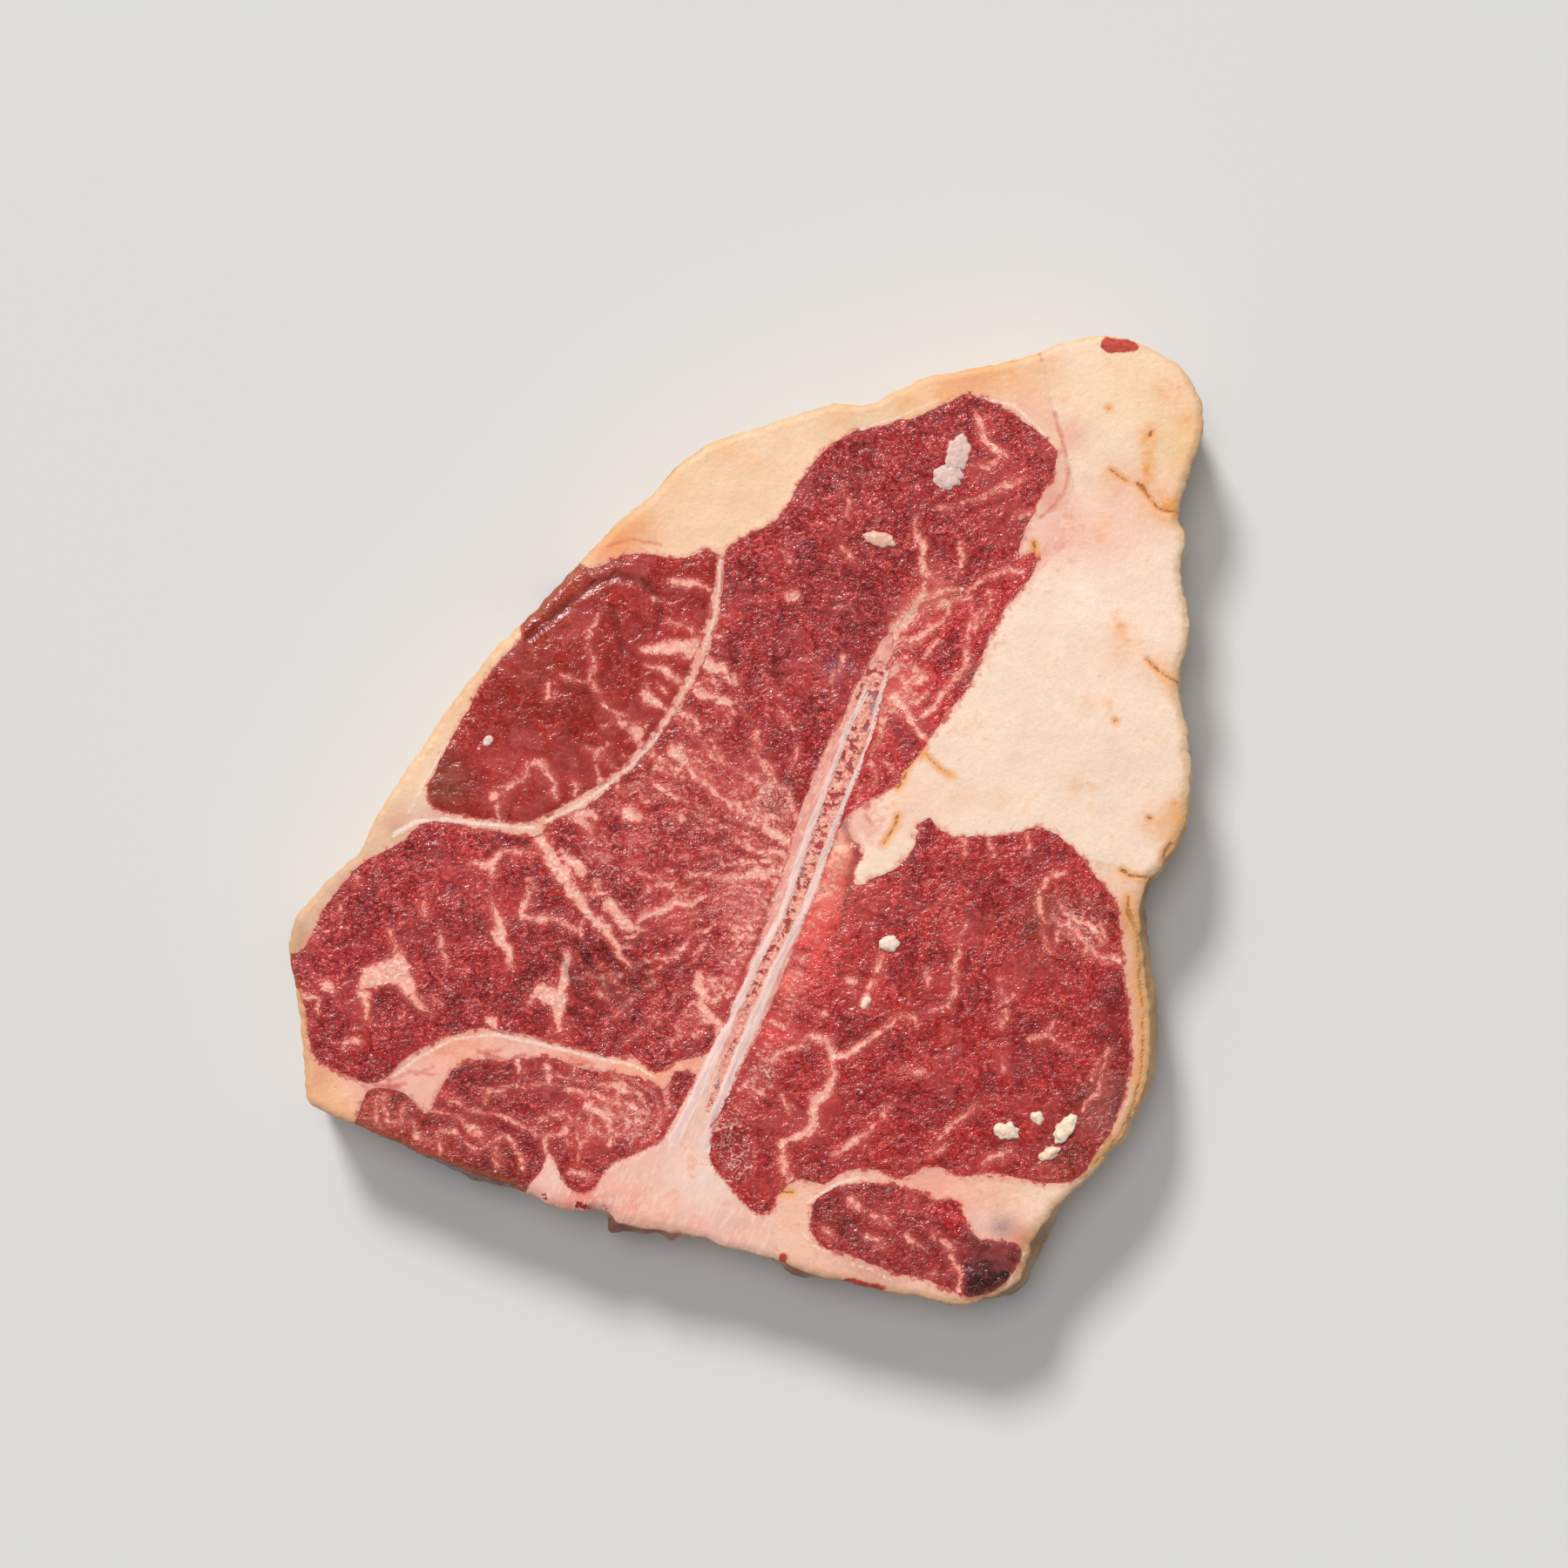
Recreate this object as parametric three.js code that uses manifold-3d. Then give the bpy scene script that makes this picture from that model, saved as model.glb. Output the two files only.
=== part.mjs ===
// A raw bone-in beef steak cut right across the loin: seven lean and bony parts held in four bodies of fat.
// Millimetres, +Z up. The steak lies on one sawn face, with the origin on the table under its middle.
// The parts run through the whole thickness, and the seams between them lean a little on the way down.
import * as THREE from "three";
import { mergeVertices } from "three/addons/utils/BufferGeometryUtils.js";
import Module from "manifold-3d";

const THICKNESS = 34; // from the table to the upper sawn face
const CUT_GAP = 0.3; // clear space between two parts
const OUTLINE_STEP = 4; // spacing of the points along the outer edge
const SEAM_STEP = 4.5; // spacing of the points along the inner outlines
const FACE_CELL = 10; // grid of the sawn face, which swells and dips gently
const FACE_CELLS = 28; // cells across that grid, enough to cover the steak
const BELLY = 1.4; // how far the side swells half way down
const EDGE_ROUND = 1.6; // how far the lower rim turns in
const SEAM_LEAN = { x: 1.6, y: -1.2 }; // shift of a seam from the upper face to the table
const SIDE_RINGS = [0, 2.5, 10, 21, 31.5]; // heights at which the side is shaped
const OVERRUN = 8; // how far a cutting solid runs past what it cuts
const MIDDLE = { x: 0.28, y: -0.69 }; // middle of the steak's box in the outlines' own coordinates

// The outer edge of the upper face, anticlockwise from the tip of the suet.
const outerEdge = [
  [96, 126], [85, 125], [75, 121.5], [65, 118.6], [55, 117], [45, 114.6], [36, 110], [30, 107.6], [25, 108],
  [8, 103.5], [-8, 98], [-17, 92], [-24, 84.8], [-38, 72], [-52, 57.2], [-67, 42.5], [-83, 21.3], [-96, 1.5],
  [-101.5, -8.6], [-110, -16.6], [-118, -26.5], [-119.3, -30.5], [-117.6, -45], [-115.9, -60], [-114.4, -73.5],
  [-112, -75.2], [-105, -78.6], [-90, -84.8], [-74, -90.8], [-62, -95], [-51, -100.4], [-45, -101.8], [-39, -101.4],
  [-28, -105.4], [-17, -107.4], [-6, -111], [8, -114.8], [22, -119.6], [42, -123.8], [56, -126.3], [63, -124.6],
  [69, -120.6], [72, -114], [72.8, -109.6], [80, -101.6], [91, -90.6], [98.6, -80], [103, -67], [103.6, -55],
  [102.2, -36], [101.8, -25], [103.4, -17.6], [108.5, -11], [112.4, -5], [114.7, 3], [114.9, 20], [112.4, 32],
  [112.8, 37.6], [115.2, 48], [113.2, 64], [114, 73], [112.4, 79.4], [115.4, 91], [118.8, 101], [118.4, 108.4],
  [114, 117], [106, 122.4],
];

// Places where the side stands out past the upper face or hangs back under it.
const sideSwells = [
  { x: 104, y: -50, reach: 34, out: 3.4 }, // fat cover outside the fillet
  { x: 76, y: -112, reach: 9, out: 4.2 }, // flap of dried lean below the chain
  { x: -72, y: -92, reach: 12, out: 2.2 }, // membrane under the chine muscle
  { x: -28, y: -106, reach: 7, out: 2.6 }, // scrap of lean on the chine
  { x: 14, y: -117, reach: 6, out: 2.4 },
  { x: -95, y: 0, reach: 70, out: -2.2 }, // the fat cover leans in towards the table
  { x: 60, y: 120, reach: 60, out: -1.6 },
];

// Swells and dips of the upper face.
const faceSwells = [
  { x: 55, y: -48, reach: 34, rise: 1.3 }, // fillet
  { x: -48, y: 36, reach: 22, rise: 1.2 }, // outer eye
  { x: -82, y: -34, reach: 26, rise: 0.9 },
  { x: 30, y: 76, reach: 26, rise: 0.9 },
  { x: 92, y: 30, reach: 30, rise: 1.4 }, // suet
  { x: 98, y: 106, reach: 18, rise: 1.1 },
  { x: -34, y: -50, reach: 14, rise: -1.1 }, // hollow where the fibres tear
  { x: -52, y: -78, reach: 22, rise: 0.7 },
  { x: 40, y: -108, reach: 16, rise: 0.8 },
];

// Closed outlines of the bone and the muscles on the upper face. Where a part reaches the side of the steak,
// its outline runs past the outer edge; where it meets one cut before it, it runs under that one.
const boneOutline = [
  [38, 48.5], [34, 45], [26.4, 30], [17.3, 11], [10.6, -9], [4.6, -27], [-3.6, -48.5], [-13.6, -68], [-20, -80],
  [-23.6, -84.8], [-30, -87.6], [-36, -90.4], [-40, -96.2], [-44, -98], [-47, -95.6], [-49.4, -90], [-51.6, -87],
  [-53.6, -91.6], [-57.4, -96], [-60, -106], [-5, -122], [7, -124], [6.8, -112], [6.2, -105], [2.2, -103.6],
  [-5, -95.9], [-9.2, -89], [-8.4, -80.5], [-4.4, -71.5], [5.4, -51], [12.8, -33], [19.2, -17], [25, 0], [31.4, 18],
  [36, 33], [38.8, 45],
];
const filletOutline = [
  [14, -20], [21, -3], [25, -0.6], [27.2, -5], [29.6, -10], [27.8, -13.6], [28.4, -17.2], [33, -15.6], [42, -10.2],
  [45.8, -0.8], [47.6, 0.4], [50, -2.6], [54, -4.6], [67, -4.1], [76, -2.7], [80, -3.4], [89, -12.4], [96.3, -22],
  [97.9, -37], [100, -57], [99.6, -66], [93.8, -83], [85, -94.4], [78, -95], [63, -92.4], [56, -93], [48, -90.6],
  [40, -93.6], [33, -91.2], [27, -91.6], [20, -95], [11.5, -94.2], [5.5, -102.6], [2.5, -103], [-4.5, -95.6],
  [-12, -86], [-4, -65], [6, -40],
];
const stripOutline = [
  [41, 54], [50, 59.6], [57, 59.2], [63, 60.6], [72, 68.4], [74.8, 69.5], [75, 65.6], [69, 56.5], [63, 47.5],
  [59, 36.5], [51, 26], [46, 18.4], [41.3, 12.4], [39.3, 9], [30.5, 4.2], [24.6, -0.8], [20, 0], [28, 20], [34, 42],
];
const mainOutline = [
  [57.5, 110.8], [51, 107.8], [43, 104.6], [26, 100], [16, 90.8], [8.5, 79], [-2, 73], [-5.6, 69.6], [-6.4, 57],
  [-9.8, 44], [-16.8, 30], [-26.2, 17], [-38, 5.8], [-51, -1.6], [-55, -4.4], [-70, -2.8], [-84, -1.2], [-91, -6.6],
  [-101.5, -12.6], [-111, -25], [-116.4, -34.5], [-124, -36], [-124, -43], [-117, -44.5], [-114.4, -57],
  [-111.6, -63], [-104, -67.3], [-99.5, -68.8], [-94.6, -67.8], [-88, -62], [-76, -56], [-66, -54.8], [-52, -57.8],
  [-37, -61.6], [-28.6, -62.8], [-24, -66.2], [-18.5, -63.4], [-9.3, -59.5], [5, -30], [20, 12], [34, 40], [44, 55],
  [57, 57.4], [66, 60.6], [71.4, 66.6], [71, 70.6], [75.6, 82], [80.6, 91], [80.2, 96.5], [73.5, 103],
];
const eyeOutline = [
  [-8.6, 69.3], [-14, 69], [-19, 67.6], [-24.5, 69.2], [-30, 69], [-40, 65.6], [-46.5, 67], [-60, 53.4],
  [-59.4, 47.8], [-68, 36.8], [-75, 24], [-81.8, 11.5], [-83, 7], [-81.4, 2.8], [-70, 0.2], [-56, -0.6],
  [-47, 4.2], [-35, 11.4], [-24.8, 22.4], [-16.6, 36], [-11, 50], [-8.8, 60],
];
const chineOutline = [
  [-98.5, -70.6], [-89, -71.8], [-83.6, -76.6], [-78.6, -68.4], [-75.5, -64.8], [-70, -63], [-57, -62.4],
  [-51, -62.4], [-44, -64.8], [-29, -67], [-22, -70.4], [-18.6, -66.4], [-12, -68], [-18, -84], [-24, -90],
  [-34, -98], [-44, -104], [-57, -108], [-80, -98], [-103, -86], [-100.8, -76],
];
const chainOutline = [
  [16.6, -103], [18.4, -98.6], [28, -95.2], [41, -96.2], [50, -99.6], [54.5, -99.6], [58.4, -107], [62, -109.8],
  [70, -111], [71, -114], [66, -122], [60.5, -124.4], [55.5, -124], [46, -119.6], [39, -118.6], [27, -113.8],
  [18.6, -110.4],
];

// The rest is fat. These zones, which may run under the parts above, say which body of fat a place belongs to.
const suetZone = [
  [76, 145], [77, 121], [80.4, 105], [83.4, 95], [85, 87], [82.4, 81], [76, 79], [60, 70], [28, 26], [2, -50],
  [40, -45], [80, -20], [87, -10.4], [92, -10.6], [96, -12], [99, -15], [103.4, -16], [112, -17], [145, -17],
  [145, 145],
];
const filletFatZone = [
  [60, -40], [80, -19], [86, -9], [92, -10.2], [96, -11.6], [99, -14.6], [103.4, -15.6], [145, -16], [145, -145],
  [-15, -145], [-15, -95], [20, -70],
];
const cornerZone = [
  [-140, -40], [-120, -40], [-100, -50], [-30, -50], [-10, -62], [-20, -95], [-40, -145], [-140, -145],
];

// Crumbs of fat left by the saw, fused to the lean they lie on: centre, half lengths and turn in degrees.
const crumbHeight = 1.1;
const crumbs = [
  { on: "fillet", x: 37.2, y: -32.4, long: 2.5, wide: 2.2, turn: 0 },
  { on: "fillet", x: 67.8, y: -81.4, long: 3.4, wide: 2.3, turn: 0 },
  { on: "fillet", x: 76, y: -78, long: 2, wide: 1.6, turn: -50 },
  { on: "fillet", x: 83, y: -81, long: 4.4, wide: 2.2, turn: 52 },
  { on: "fillet", x: 79, y: -87.4, long: 3, wide: 1.5, turn: 25 },
  { on: "fillet", x: 31, y: -48, long: 2, wide: 1.1, turn: 60 },
  { on: "loin", x: 55, y: 95.6, long: 4.6, wide: 2.9, turn: 80 },
  { on: "loin", x: 52.6, y: 88.6, long: 3.6, wide: 3.3, turn: 0 },
  { on: "loin", x: 34.6, y: 73, long: 4.2, wide: 1.9, turn: -12 },
  { on: "outer_eye", x: -67.4, y: 20.4, long: 1.7, wide: 1.3, turn: 60 },
];

const lookOf = {
  lean: { color: 0x9a2c2f, roughness: 0.35, metalness: 0 },
  fat: { color: 0xf3d9bd, roughness: 0.45, metalness: 0 },
  bone: { color: 0xecd0c4, roughness: 0.5, metalness: 0 },
};

const wasm = await Module();
wasm.setup();
const { Manifold, Mesh: SolidMesh } = wasm;

// A closed three.js geometry as a solid.
function solidFrom(geometry) {
  const bare = geometry.index ? geometry.toNonIndexed() : geometry.clone();
  bare.deleteAttribute("normal");
  bare.deleteAttribute("uv");
  const merged = mergeVertices(bare, 1e-4);
  return new Manifold(
    new SolidMesh({
      numProp: 3,
      vertProperties: new Float32Array(merged.attributes.position.array),
      triVerts: new Uint32Array(merged.index.array),
    }),
  );
}

// A solid as a geometry with flat facets.
function geometryFrom(solid) {
  const { vertProperties, triVerts } = solid.getMesh();
  const geometry = new THREE.BufferGeometry();
  geometry.setAttribute("position", new THREE.BufferAttribute(new Float32Array(vertProperties), 3));
  geometry.setIndex(new THREE.BufferAttribute(new Uint32Array(triVerts), 1));
  const faceted = geometry.toNonIndexed();
  faceted.computeVertexNormals();
  return faceted;
}

// Evenly spaced points on the smooth closed curve through an outline, anticlockwise.
function smoothLoop(outline, step) {
  const through = outline.map(([x, y]) => new THREE.Vector3(x, y, 0));
  const curve = new THREE.CatmullRomCurve3(through, true, "centripetal");
  const count = Math.round(curve.getLength() / step);
  const loop = curve.getSpacedPoints(count).slice(0, count).map((p) => new THREE.Vector2(p.x, p.y));
  return THREE.ShapeUtils.area(loop) > 0 ? loop : loop.reverse();
}

// Outward unit normal at each point of an anticlockwise loop.
function outwardNormals(loop) {
  return loop.map((_, i) => {
    const before = loop[(i + loop.length - 1) % loop.length];
    const after = loop[(i + 1) % loop.length];
    return new THREE.Vector2(after.y - before.y, before.x - after.x).normalize();
  });
}

const grown = (loop, by) => outwardNormals(loop).map((n, i) => loop[i].clone().addScaledVector(n, by));

const hill = (x, y, swell) => Math.exp(-((x - swell.x) ** 2 + (y - swell.y) ** 2) / swell.reach ** 2);

const faceHeight = (x, y) => THICKNESS - 0.6 + faceSwells.reduce((sum, s) => sum + s.rise * hill(x, y, s), 0);

// How far the side stands outside the outer edge: 0 at the upper face, most near half way down.
function sideOffset(point, height) {
  const down = THREE.MathUtils.clamp(1 - height / THICKNESS, 0, 1);
  const swell = sideSwells.reduce((sum, s) => sum + s.out * hill(point.x, point.y, s), BELLY);
  const rim = EDGE_ROUND * Math.max(0, 1 - height / 3) ** 2;
  return swell * Math.sin(Math.PI * down ** 0.8 * 0.92) - rim;
}

// The whole steak without its upper face: rings of the outer edge from the table to above the face.
function sideBody() {
  const loop = smoothLoop(outerEdge, OUTLINE_STEP);
  const normals = outwardNormals(loop);
  const heights = [...SIDE_RINGS, THICKNESS + OVERRUN];
  const places = [];
  for (const height of heights) {
    loop.forEach((p, i) => {
      const at = p.clone().addScaledVector(normals[i], sideOffset(p, height));
      places.push(at.x, at.y, height);
    });
  }
  const n = loop.length;
  const faces = [];
  for (let ring = 0; ring < heights.length - 1; ring++) {
    for (let i = 0; i < n; i++) {
      const [a, b] = [ring * n + i, ring * n + ((i + 1) % n)];
      faces.push(a, b, b + n, a, b + n, a + n);
    }
  }
  const last = (heights.length - 1) * n;
  for (const [a, b, c] of THREE.ShapeUtils.triangulateShape(loop, [])) {
    faces.push(a, c, b, last + a, last + b, last + c);
  }
  const geometry = new THREE.BufferGeometry();
  geometry.setAttribute("position", new THREE.Float32BufferAttribute(places, 3));
  geometry.setIndex(faces);
  return solidFrom(geometry);
}

// Everything below the upper face, raised or lowered a little for one part.
function belowFace(raise) {
  const across = FACE_CELL * FACE_CELLS;
  const box = new THREE.BoxGeometry(across, across, 1, FACE_CELLS, FACE_CELLS, 1);
  const at = box.attributes.position;
  for (let i = 0; i < at.count; i++) {
    at.setZ(i, at.getZ(i) > 0 ? faceHeight(at.getX(i), at.getY(i)) + raise : -OVERRUN);
  }
  return solidFrom(box);
}

// A column of the given plan through the whole thickness, leaning as the seams do.
function column(loop) {
  const shape = new THREE.Shape(loop);
  const [low, high] = [-1.5 * OVERRUN, THICKNESS + 1.5 * OVERRUN];
  const geometry = new THREE.ExtrudeGeometry(shape, { depth: high - low, steps: 1, bevelEnabled: false });
  const at = geometry.attributes.position;
  for (let i = 0; i < at.count; i++) {
    const height = at.getZ(i) + low;
    const down = 1 - height / THICKNESS;
    at.setXYZ(i, at.getX(i) + SEAM_LEAN.x * down, at.getY(i) + SEAM_LEAN.y * down, height);
  }
  return solidFrom(geometry);
}

// One crumb, a flattened blob that sits half sunk in the face.
function crumbSolid({ x, y, long, wide, turn }) {
  const blob = new THREE.IcosahedronGeometry(1, 1);
  blob.scale(long, wide, crumbHeight);
  blob.rotateZ(THREE.MathUtils.degToRad(turn));
  blob.translate(x, y, faceHeight(x, y));
  return solidFrom(blob);
}

// A cut can leave a loose sliver, which is dropped.
function largest(solid) {
  return solid.decompose().reduce((best, piece) => (piece.volume() > best.volume() ? piece : best));
}

const side = sideBody();

const leanParts = [
  { name: "bone", outline: boneOutline, look: "bone", raise: 0.35 },
  { name: "fillet", outline: filletOutline, look: "lean", raise: 0.1 },
  { name: "side_strap", outline: stripOutline, look: "lean", raise: -0.3 },
  { name: "loin", outline: mainOutline, look: "lean", raise: 0 },
  { name: "outer_eye", outline: eyeOutline, look: "lean", raise: 0.2 },
  { name: "chine_muscle", outline: chineOutline, look: "lean", raise: -0.2 },
  { name: "chain", outline: chainOutline, look: "lean", raise: 0 },
];
const fatParts = [
  { name: "suet", outline: suetZone, raise: 0.1 },
  { name: "fillet_fat", outline: filletFatZone, raise: -0.2 },
  { name: "chine_fat", outline: cornerZone, raise: -0.1 },
  { name: "fat_cover", outline: null, raise: -0.1 },
];

const steak = new THREE.Group();
steak.name = "t_bone_steak";

function addPart(name, solid, look) {
  const mesh = new THREE.Mesh(geometryFrom(solid), new THREE.MeshStandardMaterial(lookOf[look]));
  mesh.name = name;
  steak.add(mesh);
}

// Each part takes its column out of what the parts before it have left.
let taken = null;
const takeAway = (solid) => (taken ? solid.subtract(taken) : solid);
const take = (cutter) => {
  taken = taken ? taken.add(cutter) : cutter;
};

for (const { name, outline, look, raise } of leanParts) {
  const loop = smoothLoop(outline, SEAM_STEP);
  let solid = largest(takeAway(side.intersect(column(loop)).intersect(belowFace(raise))));
  for (const crumb of crumbs.filter((c) => c.on === name)) {
    solid = solid.add(crumbSolid(crumb));
  }
  addPart(name, solid, look);
  take(column(grown(loop, CUT_GAP)));
}
for (const { name, outline, raise } of fatParts) {
  const whole = side.intersect(belowFace(raise));
  const loop = outline && outline.map(([x, y]) => new THREE.Vector2(x, y));
  const oriented = loop && (THREE.ShapeUtils.area(loop) > 0 ? loop : loop.reverse());
  addPart(name, largest(takeAway(oriented ? whole.intersect(column(oriented)) : whole)), "fat");
  if (oriented) take(column(grown(oriented, CUT_GAP)));
}

steak.position.set(-MIDDLE.x, -MIDDLE.y, 0);

export default steak;
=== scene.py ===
# A raw bone-in beef steak lying on a pale table, seen from straight above.
# The steak's plan is in millimetres, as in the part's own source. Meshes and the camera are in metres.
import math

import bpy
import numpy as np
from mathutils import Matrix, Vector, geometry, kdtree, noise


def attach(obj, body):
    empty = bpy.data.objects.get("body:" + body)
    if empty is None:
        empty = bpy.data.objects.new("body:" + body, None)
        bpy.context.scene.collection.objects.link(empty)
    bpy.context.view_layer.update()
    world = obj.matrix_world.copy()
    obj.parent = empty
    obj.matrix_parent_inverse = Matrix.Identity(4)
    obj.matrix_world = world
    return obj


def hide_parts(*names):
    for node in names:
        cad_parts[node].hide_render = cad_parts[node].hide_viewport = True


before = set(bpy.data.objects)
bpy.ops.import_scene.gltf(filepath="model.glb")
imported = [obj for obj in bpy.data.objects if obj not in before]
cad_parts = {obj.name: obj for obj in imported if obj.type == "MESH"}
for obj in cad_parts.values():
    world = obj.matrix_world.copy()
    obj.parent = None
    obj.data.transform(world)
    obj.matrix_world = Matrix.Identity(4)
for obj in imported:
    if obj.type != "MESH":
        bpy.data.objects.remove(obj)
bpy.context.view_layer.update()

mm = 0.001
noise.seed_set(5)      # without it, the wandering of the outlines would differ from run to run

steak = {
    "thickness": 34.0,
    "middle": (0.28, -0.69),      # middle of the steak's box on the plan
    "cell": 0.7,                  # spacing of the points on the sawn faces
    "jitter": 0.12,               # how far they stray from an even lattice
    "belly": 1.4,                 # how far the side swells half way down
    "edgeRound": 1.6,             # how far the lower rim turns in
    "seamLean": (1.6, -1.2),      # drift of a seam from the upper face to the table
    "sideRings": 26,              # rings of points down an outer side
    "seamRings": 3,               # the same where two parts meet
    "faceDip": 0.6,               # how far the sawn face lies under the full thickness
    "farAway": 9.0,               # distances from an edge are kept up to here
    "rimDrop": (0.9, 0.9),        # how far the upper rim drops, and over what width
    "rimLift": (0.8, 1.4),        # the same for the lower rim, upwards
    "restGap": 0.12,              # mean gap under the steak, which waves by as much
    "restWaves": (7.0, 9.0),      # size of those waves along x and y
    "onEdge": 0.05,               # a point this near the outline lies on it
    "sideStart": 0.3,             # a seam this near the outline already belongs to the outer side
    "raiseWidth": 1.6,            # how far in from its border a part reaches its own height
    "seamWidth": 0.8,             # width of the dip along a seam
    "cleftWidth": 0.6,            # the same along a cleft in the lean
    "crackWidth": 0.4,            # and along a crack in the fat
    "rimHeight": 3.0,             # height over the table where the lower rim starts to turn in
    "sideReach": 6.0,             # how far in from the edge the side still shifts points
    "sideGrain": [(6.0, 1.6, 0.5), (2.2, 2.2, 0.35)],    # roughness there: size, squeeze in height, depth
    "outlineWander": [(5.0, 0.55), (1.7, 0.3)],          # shifts of the outlines: size, amount
    "threadWander": [(4.5, 1.3), (1.9, 0.5)],            # the same for the threads of fat
}

# Colour of the outer side all round, with patches of other colours: x, y, reach, colour, strength.
fatSide = {
    "colour": "#D9B58A",
    "patches": [
        (78, -110, 9, "#7A5634", 1.0), (68, -124, 8, "#6E4C30", 0.9), (103, -50, 26, "#B98E5C", 0.8),
        (100, -26, 5, "#7C5230", 0.8), (103, -18, 4, "#6A4426", 0.8), (110, -7, 5, "#C48A4C", 0.8),
        (14, -117, 6, "#7E1E20", 0.9), (31, -121.6, 7, "#8E2A26", 0.9), (-32, -104.6, 6, "#7E3826", 1.0),
        (-24, -106, 4, "#8A4A2E", 1.0), (-18.4, -107.4, 3.4, "#A8623A", 0.9), (-10, -109, 6, "#D0936C", 0.8),
        (-112, -72, 9, "#E9B284", 0.8), (-70, 40, 40, "#E2C49A", 0.6), (60, 118, 20, "#EBC394", 0.6),
    ],
}
leanSide = {
    "colour": "#6E2A20",
    "patches": [
        (-74, -90, 8, "#7E6252", 0.9), (-95, -84, 8, "#A85A34", 0.9), (-45, 68, 12, "#7A3A22", 0.7),
        (77, -110, 8, "#7A5634", 1.0), (68, -123, 9, "#6A4A30", 0.9),
    ],
}

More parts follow.
